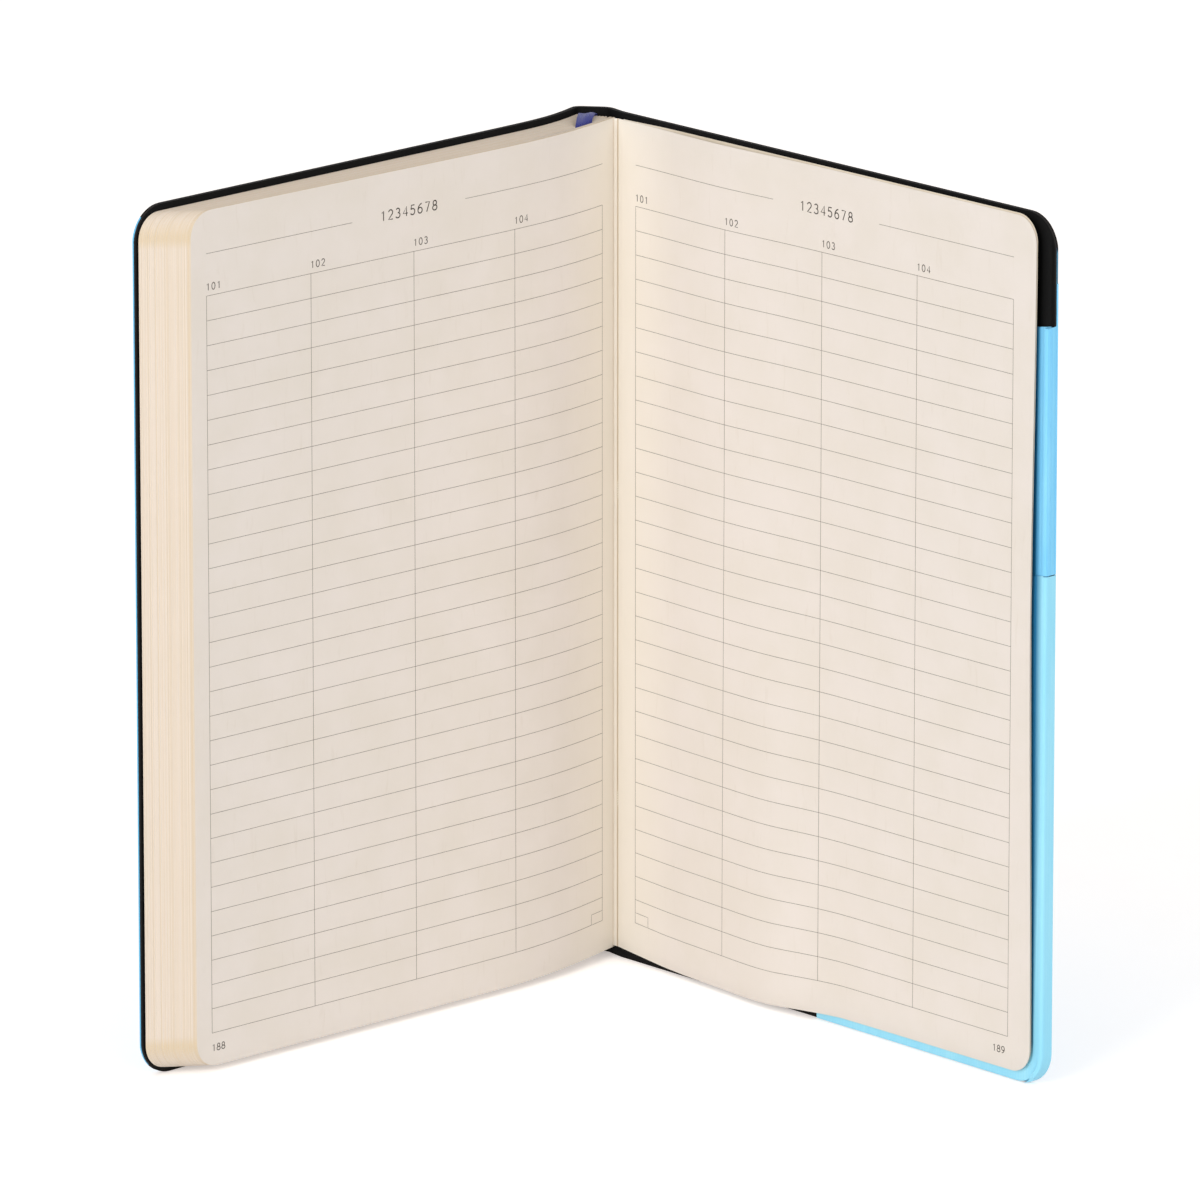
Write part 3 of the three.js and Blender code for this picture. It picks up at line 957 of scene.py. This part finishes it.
def make_loose_leaves():
    columns = [(s, 0.0, 0.0) for s in ROOT_STATIONS[:-1]]
    columns += sheet_columns(ROOT_END, LEAF_END, PAGE_CORNER, LEAF_BEND_END, 1.5, 5.0, LEAF_ROUNDING)
    piece = sheet(
        "page_last", last_leaf_place, columns,
        lambda s, cut: leaf_height(s, PAGE_FOOT + cut),
        lambda s, cut: leaf_height(s, PAGE_HEAD - cut),
        LAST_LEAF_LAYER, 0.03, [PAGE], rows=50,
    )
    follow_leaf_root(piece, "last_leaf")
    piece = sheet(
        "flyleaf", flyleaf_place,
        sheet_columns(FLYLEAF_START, LEAF_END, PAGE_CORNER, rounding=LEAF_ROUNDING),
        lambda s, cut: leaf_height(s, PAGE_FOOT + cut) + FLYLEAF_LIFT,
        flyleaf_head, FLYLEAF_LAYER, 0.03, [FLYLEAF], rows=30,
    )
    place_piece(piece, "back_flyleaf", "back_flyleaf")


# Print: thin raised ink along lines on a page. A page is place(s, lift, z).
INK_DEPTH = 0.01
DIGIT_WIDTH = 0.6
DIGIT_GAP = 0.42
DIGIT_PITCH = 9.0


def last_page_place(s, lift, z):
    return last_page.point(s, lift - 0.5 * (1 - LEAF_FILL) * EVEN_PITCH)


def leaf_front_place(s, lift, z):
    return last_leaf_place(s, LAST_LEAF_LAYER[1] + lift, z)


class Ink:
    """Collects strokes on a page into one mesh."""

    def __init__(self, place, side, height, shift):
        self.place = place
        self.side = side
        self.height = height
        self.shift = shift
        self.points, self.faces, self.slots = [], [], []

    def stroke(self, path, width=LINE_WIDTH, pitch=1.5, slot=0):
        """A line through (s, z) points, as a thin closed strip."""
        dense = [path[0]]
        for a, b in zip(path, path[1:]):
            count = max(int(math.ceil(math.dist(a, b) / pitch)), 1)
            dense += [tuple(mix(np.array(a), np.array(b), (i + 1) / count)) for i in range(count)]
        rings = []
        for i, (s, z) in enumerate(dense):
            before = np.array(dense[max(i - 1, 0)])
            after = np.array(dense[min(i + 1, len(dense) - 1)])
            way = after - before
            way = way / max(np.linalg.norm(way), 1e-9)
            out = np.array([-way[1], way[0]]) * width / 2
            ring = []
            for sign, lift in ((-1, -INK_DEPTH), (1, -INK_DEPTH), (1, INK_LIFT), (-1, INK_LIFT)):
                ps, pz = s + self.shift + sign * out[0], z + sign * out[1]
                stands = self.height(ps, pz)
                ring.append((*self.place(ps, lift, stands), stands, ps, pz))
            rings.append(ring)
        faces = faces_between(rings, len(self.points))
        self.points += [point for ring in rings for point in ring]
        self.faces += faces
        self.slots += [slot] * len(faces)

    def digits(self, text, s, z, height, width, gap=DIGIT_GAP):
        """Plain numbers, their left end at s, read from left to right."""
        x = 0.0
        for character in text:
            for line in DIGITS[character]:
                path = [(s + self.side * (x + px) * height, z + py * height) for px, py in line]
                self.stroke(path, width, DIGIT_PITCH, slot=1)
            x += DIGIT_WIDTH + gap

    def piece(self, name):
        return mesh_object(name, self.points, self.faces, [RULE_INK, TYPE_INK], self.slots, sharp=60.0)


def arc(cx, cy, rx, ry, start, stop, count=14):
    angles = [math.radians(mix(start, stop, i / count)) for i in range(count + 1)]
    return [(cx + rx * math.cos(a), cy + ry * math.sin(a)) for a in angles]


DIGITS = {
    "0": [arc(0.3, 0.5, 0.3, 0.5, 0, 360, 24)],
    "1": [[(0.12, 0.8), (0.35, 1.0), (0.35, 0.0)]],
    "2": [arc(0.3, 0.72, 0.28, 0.28, 165, -35, 12) + [(0.02, 0.0), (0.6, 0.0)]],
    "3": [arc(0.28, 0.76, 0.25, 0.24, 150, -90, 12), arc(0.28, 0.27, 0.3, 0.27, 90, -155, 14)],
    "4": [[(0.46, 0.0), (0.46, 1.0), (0.0, 0.3), (0.62, 0.3)]],
    "5": [[(0.54, 1.0), (0.12, 1.0), (0.07, 0.56)] + arc(0.28, 0.32, 0.3, 0.32, 125, -150, 14)],
    "6": [arc(0.3, 0.3, 0.29, 0.3, 0, 360, 20), arc(0.62, 0.34, 0.61, 0.66, 100, 180, 10)],
    "7": [[(0.02, 1.0), (0.58, 1.0), (0.2, 0.0)]],
    "8": [arc(0.3, 0.75, 0.23, 0.25, 0, 360, 18), arc(0.3, 0.26, 0.3, 0.26, 0, 360, 20)],
    "9": [arc(0.3, 0.7, 0.29, 0.3, 0, 360, 20), arc(-0.02, 0.66, 0.61, 0.66, 0, -80, 10)],
}

TITLE_NUMBERS = "12345678"
TITLE_HEIGHT = 2.3
TITLE_STROKE = 0.28
FIRST_LABEL = 101
LABEL_HEIGHT = 1.65
LABEL_LIFT = 1.3
LABEL_STROKE = 0.2
PAGE_NUMBERS = ("188", "189")
PAGE_NUMBER_WIDTH = 5.0
PAGE_NUMBER_DROP = 4.5
PAGE_NUMBER_GAP = 0.3
BOX_WIDTH = 4.7
BOX_HEIGHT = 2.6


def make_print(name, body, place, side, page_number, height, shift):
    """Ruled table with numbered columns, a title row and the page number."""
    ink = Ink(place, side, height, shift)
    first, last = COLUMN_LINES[0], COLUMN_LINES[-1]
    for row in range(1, TABLE_ROWS + 1):
        z = mix(TABLE_FOOT, TABLE_HEAD, row / TABLE_ROWS)
        ink.stroke([(first, z), (last, z)])
    box_end, box_head = first + BOX_WIDTH, TABLE_FOOT + BOX_HEIGHT
    ink.stroke([(box_end, TABLE_FOOT), (last, TABLE_FOOT)])
    for s in COLUMN_LINES:
        ink.stroke([(s, box_head if s == first else TABLE_FOOT), (s, TABLE_HEAD)], pitch=6.0)
    for start, stop in ((first, TITLE_MIDDLE - TITLE_GAP / 2), (TITLE_MIDDLE + TITLE_GAP / 2, last)):
        ink.stroke([(start, TITLE_RULE), (stop, TITLE_RULE)])
    corner = (first, TABLE_FOOT)
    ink.stroke([corner, (box_end, TABLE_FOOT), (box_end, box_head), (first, box_head), corner])
    title_width = (len(TITLE_NUMBERS) * (DIGIT_WIDTH + DIGIT_GAP) - DIGIT_GAP) * TITLE_HEIGHT
    title_start = TITLE_MIDDLE - side * title_width / 2
    ink.digits(TITLE_NUMBERS, title_start, TITLE_RULE - TITLE_HEIGHT / 2, TITLE_HEIGHT, TITLE_STROKE)
    starts = COLUMN_LINES[:-1] if side > 0 else COLUMN_LINES[:0:-1]
    for number, s in enumerate(starts, FIRST_LABEL):
        ink.digits(str(number), s, TABLE_HEAD + LABEL_LIFT, LABEL_HEIGHT, LABEL_STROKE)
    start = last - PAGE_NUMBER_WIDTH if side > 0 else last
    z = TABLE_FOOT - PAGE_NUMBER_DROP
    ink.digits(page_number, start, z, LABEL_HEIGHT, LABEL_STROKE, PAGE_NUMBER_GAP)
    place_piece(ink.piece(name), body)


def make_prints():
    left, right = PAGE_NUMBERS
    make_print("print_left_page", "text_block", last_page_place, -1, left, sewn_height, LEFT_PRINT_SHIFT)
    make_print("print_right_page", "last_leaf", leaf_front_place, 1, right, leaf_height, RIGHT_PRINT_SHIFT)


# Pocket
PLEAT_INSET = 0.3
PLEAT_TURN_STEPS = 6
PLEAT_CREASE = (0.16, 145.0, 0.22)  # depth, place and reach of an upright crease in the outermost pleat


def mouth_height(s):
    share = (s - POCKET_START) / (POCKET_END - POCKET_START)
    return POCKET_MOUTH - 4 * MOUTH_SAG * share * (1 - share)


def pocket_head(s):
    return POCKET_HEAD + POCKET_HEAD_SLOPE * (s - POCKET_END)


def panel_lift(s):
    return PANEL_RISE * min(max((s - POCKET_START) / (GUSSET_START - POCKET_START), 0.0), 1.0)


def panel_place(s, offset, z):
    return back_cover.point(s, offset + panel_lift(s))


def make_pocket():
    piece = sheet(
        "pocket_back_sheet", on(back_cover),
        sheet_columns(POCKET_START, POCKET_END, POCKET_CORNER, coarse=3.0, rounding=0.09),
        lambda s, cut: POCKET_FOOT + cut,
        lambda s, cut: pocket_head(s),
        BACKING_LAYER, 0.08, [POCKET_RIBS],
    )
    place_piece(piece, "back_cover", "pocket_backing")
    piece = sheet(
        "pocket_front_sheet", panel_place,
        sheet_columns(POCKET_START, PANEL_END, POCKET_CORNER, coarse=3.0, rounding=0.09),
        lambda s, cut: POCKET_FOOT + cut,
        lambda s, cut: mouth_height(s),
        (PANEL_OFFSET, PANEL_OFFSET + PANEL_THICKNESS), 0.08, [POCKET_FRONT], rows=24,
    )
    place_piece(piece, "pocket_panel", "pocket_panel")
    make_pleats()
    make_pocket_side()


def pleat_path(levels):
    """One strip folded twice, joined at the outer edge and then at the inner edge."""
    inner, outer = GUSSET_START + PLEAT_INSET, PANEL_END - PLEAT_INSET
    radius = PLEAT_PITCH / 2
    path = [(s, levels[0]) for s in spread(inner - 0.2, outer, 1.2)]
    for turn, (edge, way) in enumerate(((outer, 1), (inner, -1))):
        centre = (levels[turn] + levels[turn + 1]) / 2
        for step in range(1, PLEAT_TURN_STEPS):
            angle = math.radians(-90 + 180 * step / PLEAT_TURN_STEPS)
            path.append((edge + way * radius * math.cos(angle), centre + radius * math.sin(angle)))
        if turn == 0:
            path += [(s, levels[1]) for s in spread(outer, inner, 1.2)]
    return path + [(s, levels[2] - hump(s, *PLEAT_CREASE)) for s in spread(inner, outer + 0.25, 0.25)]


def make_pleats():
    levels = [PANEL_OFFSET + PLEAT_THICKNESS / 2 + PLEAT_PITCH * i for i in range(3)]
    path = pleat_path(levels)
    low = POCKET_FOOT + POCKET_CORNER
    rings = []
    for i, (s, offset) in enumerate(path):
        way = np.array(path[min(i + 1, len(path) - 1)]) - np.array(path[max(i - 1, 0)])
        way = way / np.linalg.norm(way)
        side = np.array([-way[1], way[0]]) * PLEAT_THICKNESS / 2
        ring = []
        for sign, at_head in ((-1, False), (-1, True), (1, True), (1, False)):
            ps, po = s + sign * side[0], offset + sign * side[1]
            z = pocket_head(ps) if at_head else low
            ring.append((*back_cover.point(ps, po), z, ps, z))
        rings.append(ring)
    piece = loft("pocket_pleats", rings, [POCKET_RIBS])
    bend_piece(piece, "pocket_gusset")


# Side of the pocket: a hollow ridge along the fore-edge, from the pleats round to the outside of
# the cover. A profile lists (distance past the cover's edge, offset).
SIDE_INSIDE = (
    (-1.1, 1.3), (-1.1, 2.35), (-0.85, 2.58), (-0.45, 2.6), (-0.08, 2.42),
    (0.04, 2.1), (0.04, -0.6), (-0.02, -0.67), (-0.9, -0.67),
)
SIDE_OUTSIDE = (
    (-0.9, -0.76), (0.0, -0.76), (0.13, -0.64), (0.14, -0.36), (0.06, -0.26), (0.14, -0.16),
    (0.14, 1.4), (0.06, 1.5), (0.14, 1.6), (0.14, 2.15), (0.02, 2.5), (-0.42, 2.7), (-0.9, 2.68),
    (-1.2, 2.4), (-1.2, 1.3),
)
SIDE_CREASED = 0.06  # the points that lie back in a crease
SIDE_EDGE = (0.04, 0.14)
SIDE_HEIGHT = 2.75
SIDE_TOP = 194.0
SIDE_NARROW = -0.3
SIDE_LIFT = 0.06
SIDE_END_ANGLE = 80.0
SIDE_THINS_FROM = 50.0
SIDE_DROP = 1.4
SIDE_DROP_ANGLES = (35.0, 75.0)
SIDE_STEP = 0.4
SIDE_FLATTENING = 0.97


def side_limit(z, angle):
    """Highest offset of the ridge: a narrow strip above the pocket's head, and lower round the corner."""
    above = smoothstep((z - pocket_head(COVER_WIDTH) + SIDE_STEP) / SIDE_STEP)
    start, stop = SIDE_DROP_ANGLES
    return mix(SIDE_HEIGHT, SIDE_NARROW, above) - SIDE_DROP * smoothstep((angle - start) / (stop - start))


def side_ring(z, angle, creased, lift):
    out = np.array([math.cos(math.radians(angle)), -math.sin(math.radians(angle))])
    corner = np.array([COVER_WIDTH - COVER_CORNER, z])
    limit = side_limit(z, angle)
    thinning = SIDE_FLATTENING * smoothstep((angle - SIDE_THINS_FROM) / (SIDE_END_ANGLE - SIDE_THINS_FROM))
    flattening = SIDE_FLATTENING * smoothstep((SIDE_HEIGHT - limit - 1.0) / 0.6)
    ring = []
    for profile, edge in ((SIDE_INSIDE, SIDE_EDGE[0]), (SIDE_OUTSIDE, SIDE_EDGE[1])):
        for past, offset in profile:
            if past == SIDE_CREASED and not creased:
                past = edge
            if offset > limit:
                offset = mix(offset, limit, SIDE_FLATTENING)
                past = mix(past, edge, flattening)
            past = mix(past, edge, thinning)
            s, height = corner + out * (COVER_CORNER + past + lift)
            ring.append((*back_cover.point(s, offset + lift), height, offset, height))
    return ring


def make_pocket_side():
    """Its head is creased like the pleats; its foot takes the front panel's finish."""
    mouth = mouth_height(POCKET_END)
    heights = spread(SIDE_TOP, POCKET_HEAD + 1.5, 3.0)
    heights += spread(POCKET_HEAD + 0.5, POCKET_HEAD - 0.9, 0.1)
    heights += spread(POCKET_HEAD - 3.0, mouth + 0.1, 8.0)
    rings = [side_ring(z, 0.0, True, 0.0) for z in heights]
    piece = loft("pocket_side_head", rings, [POCKET_RIBS])
    place_piece(piece, "back_cover")
    rings = [side_ring(z, 0.0, False, SIDE_LIFT) for z in spread(mouth - 0.12, COVER_CORNER, 8.0)]
    rings += [
        side_ring(COVER_CORNER, angle, False, SIDE_LIFT * (1.0 - angle / SIDE_END_ANGLE))
        for angle in spread(3.0, SIDE_END_ANGLE, 3.0)
    ]
    piece = loft("pocket_side_foot", rings, [POCKET_FRONT])
    place_piece(piece, "back_cover")


# Ribbon, gauze and threads
GLUE = 0.15
RIBBON_WIDTH = 4.3
RIBBON_THICKNESS = 0.2
RIBBON_BACK_START = 0.9
RIBBON_GLUED_LENGTH = 20.0
RIBBON_SLOT_ENDS = (14.3, 7.4)
RIBBON_ARCH = 1.35
RIBBON_ARCH_STEPS = 12
RIBBON_RISE = 0.1
RIBBON_TILT = 0.7  # height of the arch at the ribbon's right edge, as a share
RIBBON_RIPPLE = 0.34
RIBBON_EDGE = 0.35  # thickness at the edges, as a share
RIBBON_PARTS = 6

GAUZE_DEPTH = 0.7
GAUZE_MARGIN = 24.0
GAUZE_SIDE = 1.0
GAUZE_PITCHES = (0.75, 1.5)
YARN_HALF_WIDTHS = (0.14, 0.16)
YARN_SIDES = (0.09, 0.01)

STITCHES = 5
STITCH_MARGIN = 38.5
STITCH_STEPS = 72
STITCH_DEPTH = 0.3
STITCH_SWING = 0.42
STITCH_BOB = 0.04
STITCH_RADIUS = 0.11
GUTTER_STITCHES = ((117.0, 4.6), (40.0, 4.0))  # middle height and length
GUTTER_STITCH_RADIUS = 0.12
GUTTER_STITCH_BOW = 0.08
GUTTER_STITCH_STEPS = 8
TUBE_SIDES = 8


def ribbon_rows():
    """(left, right, distance, ripple): up the back of the pages, over their head and down a slot."""
    depth = GLUE + RIBBON_THICKNESS / 2
    left, right = (behind_block(RIBBON_BACK_START + across, depth) for across in (0.0, RIBBON_WIDTH))
    slot_middle = signature_start(RIBBON_AFTER) - RIBBON_SLOT / 2
    slot_left, slot_right = (block_point(s, slot_middle) for s in RIBBON_SLOT_ENDS)
    rows = []

    def row(left, right, z_left, z_right, distance, ripple=0.0):
        rows.append((np.array([*left, z_left]), np.array([*right, z_right]), distance, ripple))

    for z in spread(PAGE_HEAD - RIBBON_GLUED_LENGTH, PAGE_HEAD - 0.4, 4.0):
        row(left, right, z, z, z)
    distance = PAGE_HEAD
    for i in range(1, RIBBON_ARCH_STEPS):
        share = i / RIBBON_ARCH_STEPS
        arch = math.sin(math.pi * share)
        height = RIBBON_ARCH * arch + RIBBON_RISE
        a, b = mix(left, slot_left, share), mix(right, slot_right, smoothstep(share))
        distance += 0.9
        row(a, b, PAGE_HEAD + height, PAGE_HEAD + height * RIBBON_TILT, distance, RIBBON_RIPPLE * arch**2)
    for z in [PAGE_HEAD - 0.3] + spread(PAGE_HEAD - 2.0, PAGE_FOOT + 14.0, 16.0):
        distance += 8.0
        row(slot_left, slot_right, z, z, distance)
    return rows


def make_ribbon():
    rows = ribbon_rows()
    rings = []
    for i, (left, right, distance, ripple) in enumerate(rows):
        way = rows[min(i + 1, len(rows) - 1)][0] - rows[max(i - 1, 0)][0]
        side = np.cross(right - left, way)
        side = side / np.linalg.norm(side)
        ring = []
        for sign in (-1, 1):
            for k in range(RIBBON_PARTS + 1)[::-sign]:
                share = k / RIBBON_PARTS
                half = RIBBON_THICKNESS / 2 * (RIBBON_EDGE if k in (0, RIBBON_PARTS) else 1.0)
                lift = sign * half + ripple * math.sin(2 * math.pi * share)
                ring.append((*(mix(left, right, share) + side * lift), share * RIBBON_WIDTH, distance))
        rings.append(ring)
    piece = loft("marker_ribbon", rings, [RIBBON])
    place_piece(piece, "text_block", "bookmark_ribbon")


BOX_FACES = ((0, 1, 3, 2), (4, 6, 7, 5), (0, 4, 5, 1), (2, 3, 7, 6), (0, 2, 6, 4), (1, 5, 7, 3))


def make_gauze():
    """Open-weave strip behind the sewn backs: upright and level yarns."""
    low, high = PAGE_FOOT + GAUZE_MARGIN, PAGE_HEAD - GAUZE_MARGIN
    ends = (GAUZE_SIDE, BLOCK_THICKNESS - GAUZE_SIDE)
    upright, level = YARN_HALF_WIDTHS
    far, near = YARN_SIDES
    points, faces = [], []

    def yarn(across, depths, heights):
        base = len(points)
        for a in across:
            for depth in depths:
                points.extend((*behind_block(a, depth), z, a, z) for z in heights)
        faces.extend(tuple(base + i for i in face) for face in BOX_FACES)

    for a in spread(ends[0] + 0.1, ends[1] - 0.1, GAUZE_PITCHES[0]):
        yarn((a - upright, a + upright), (GAUZE_DEPTH - far, GAUZE_DEPTH + near), (low, high))
    for z in spread(low + 0.4, high - 0.4, GAUZE_PITCHES[1]):
        yarn(ends, (GAUZE_DEPTH - near, GAUZE_DEPTH + far), (z - level, z + level))
    piece = mesh_object("mull_strip", points, faces, [GAUZE])
    place_piece(piece, "text_block", "spine_gauze")


def tube(points, radius):
    """Rings round a line of 3-D points in millimetres."""
    rings = []
    travelled = 0.0
    for i, point in enumerate(points):
        before, after = points[max(i - 1, 0)], points[min(i + 1, len(points) - 1)]
        way = after - before
        way = way / np.linalg.norm(way)
        side = np.cross(way, (0.0, 0.0, 1.0) if abs(way[2]) < 0.8 else (1.0, 0.0, 0.0))
        side = side / np.linalg.norm(side)
        up = np.cross(way, side)
        travelled += float(np.linalg.norm(point - before))
        ring = []
        for k in range(TUBE_SIDES):
            angle = 2 * math.pi * k / TUBE_SIDES
            spot = point + (side * math.cos(angle) + up * math.sin(angle)) * radius
            ring.append((*spot, travelled, k * radius))
        rings.append(ring)
    return rings


def link_stitch_line(middle):
    """A thread that swings up and down as it passes from signature to signature."""
    line = []
    for step in range(STITCH_STEPS + 1):
        share = step / STITCH_STEPS
        across = mix(SIGNATURE_THICKNESS / 2, BLOCK_THICKNESS - SIGNATURE_THICKNESS / 2, share)
        turn = 2 * math.pi * (SIGNATURES - 1) * share
        plan = behind_block(across, STITCH_DEPTH + STITCH_BOB * math.cos(2 * turn))
        line.append(np.array([*plan, middle + STITCH_SWING * math.sin(turn)]))
    return line


def make_threads():
    """Link stitches over the backs of the signatures, and the two stitches seen in the gutter."""
    pitch = (PAGE_HEIGHT - 2 * STITCH_MARGIN) / (STITCHES - 1)
    for i in range(STITCHES):
        line = link_stitch_line(PAGE_FOOT + STITCH_MARGIN + i * pitch)
        piece = loft(f"chain_stitch_{i + 1}", tube(line, STITCH_RADIUS), [THREAD])
        place_piece(piece, "text_block", f"link_stitch_{i + 1}")
    plan = leaf.point(CREASE_AT, GUTTER_STITCH_RADIUS)
    for number, (z, length) in enumerate(GUTTER_STITCHES, 1):
        line = []
        for share in spread(0.0, 1.0, 1.0 / GUTTER_STITCH_STEPS):
            bow = leaf.inward(0) * GUTTER_STITCH_BOW * math.sin(math.pi * share)
            line.append(np.array([*(plan + bow), z + length * (share - 0.5)]))
        piece = loft(f"gutter_stitch_{number}", tube(line, GUTTER_STITCH_RADIUS), [THREAD])
        follow_leaf_root(piece)


# Camera, floor and light
CAMERA_TARGET = Vector((1.2124, 46.0050, 91.0)) * MM
CAMERA_DISTANCE = 3.216
CAMERA_PITCH = 14.93
CAMERA_LENS = 401.3
CAMERA_SENSOR = 36.0
LIGHT_TARGET = Vector((0, 0, 0.1))
FLOOR_REACH = 4000.0
FLOOR_HEIGHT = -0.02
FLOOR_GLOW = (1, 0.92, 0.875, 1)
FLOOR_LEVEL = 0.445
WORLD_COLOR = (1.0, 1.0, 0.995, 1)
WORLD_LEVEL = 0.56


def make_camera():
    camera = bpy.data.objects.new("camera", bpy.data.cameras.new("camera"))
    bpy.context.scene.collection.objects.link(camera)
    pitch = math.radians(CAMERA_PITCH)
    camera.location = CAMERA_TARGET + Vector((0, -math.cos(pitch), math.sin(pitch))) * CAMERA_DISTANCE
    camera.rotation_euler = (math.pi / 2 - pitch, 0, 0)
    camera.data.lens = CAMERA_LENS
    camera.data.sensor_width = CAMERA_SENSOR
    camera.data.clip_start = 0.1
    camera.data.clip_end = 30.0
    bpy.context.scene.camera = camera


def area_light(name, place, size, power):
    light = bpy.data.lights.new(name, "AREA")
    light.shape = "SQUARE"
    light.size = size
    light.energy = power
    obj = bpy.data.objects.new(name, light)
    bpy.context.scene.collection.objects.link(obj)
    obj.location = place
    obj.rotation_euler = (LIGHT_TARGET - Vector(place)).to_track_quat("-Z", "Y").to_euler()


def floor_material():
    """Matt white sweep. The camera sees it almost white, darker where the object shades it."""
    n = Nodes("floor_paper")
    grain = n.noise(n.object_place(), 40.0, 3.0)
    shade = n.blend(n.span(grain, 0.3, 0.7), (0.90, 0.90, 0.90, 1), (0.92, 0.92, 0.92, 1))
    ray = n.add("LightPath").outputs
    seen = n.most(n.most(ray["Is Camera Ray"], ray["Is Glossy Ray"]), ray["Is Transmission Ray"])
    n.shader.inputs["Emission Color"].default_value = FLOOR_GLOW
    n.set(n.shader.inputs["Emission Strength"], n.times(seen, FLOOR_LEVEL))
    return n.finish(shade, n.span(grain, 0.3, 0.7, 0.85, 0.95), n.bump(grain, 0.02, 0.0005))


def make_floor():
    corners = ((-1, -1), (1, -1), (1, 1), (-1, 1))
    points = [(u * FLOOR_REACH, v * FLOOR_REACH, FLOOR_HEIGHT, u, v) for u, v in corners]
    mesh_object("floor", points, [(0, 1, 2, 3)], [floor_material()])


def make_world():
    """White behind the object and in reflections, and less bright as a light."""
    n = Nodes("studio", "worlds", "Background")
    ray = n.add("LightPath").outputs
    seen = n.most(ray["Is Camera Ray"], ray["Is Glossy Ray"])
    n.shader.inputs["Color"].default_value = WORLD_COLOR
    n.set(n.shader.inputs["Strength"], n.span(seen, 0.0, 1.0, WORLD_LEVEL, 1.0))
    bpy.context.scene.world = n.owner


def make_stage():
    make_floor()
    make_world()
    area_light("key", (-1.7, -2.4, 1.2), 1.5, 42.5)
    area_light("fill", (1.9, -2.2, 1.3), 2.2, 24.6)
    bpy.context.scene.view_settings.view_transform = "Standard"


make_camera()
make_stage()
make_cover()
for number in range(SIGNATURES):
    make_signature(number)
make_loose_leaves()
make_prints()
make_pocket()
make_ribbon()
make_gauze()
make_threads()
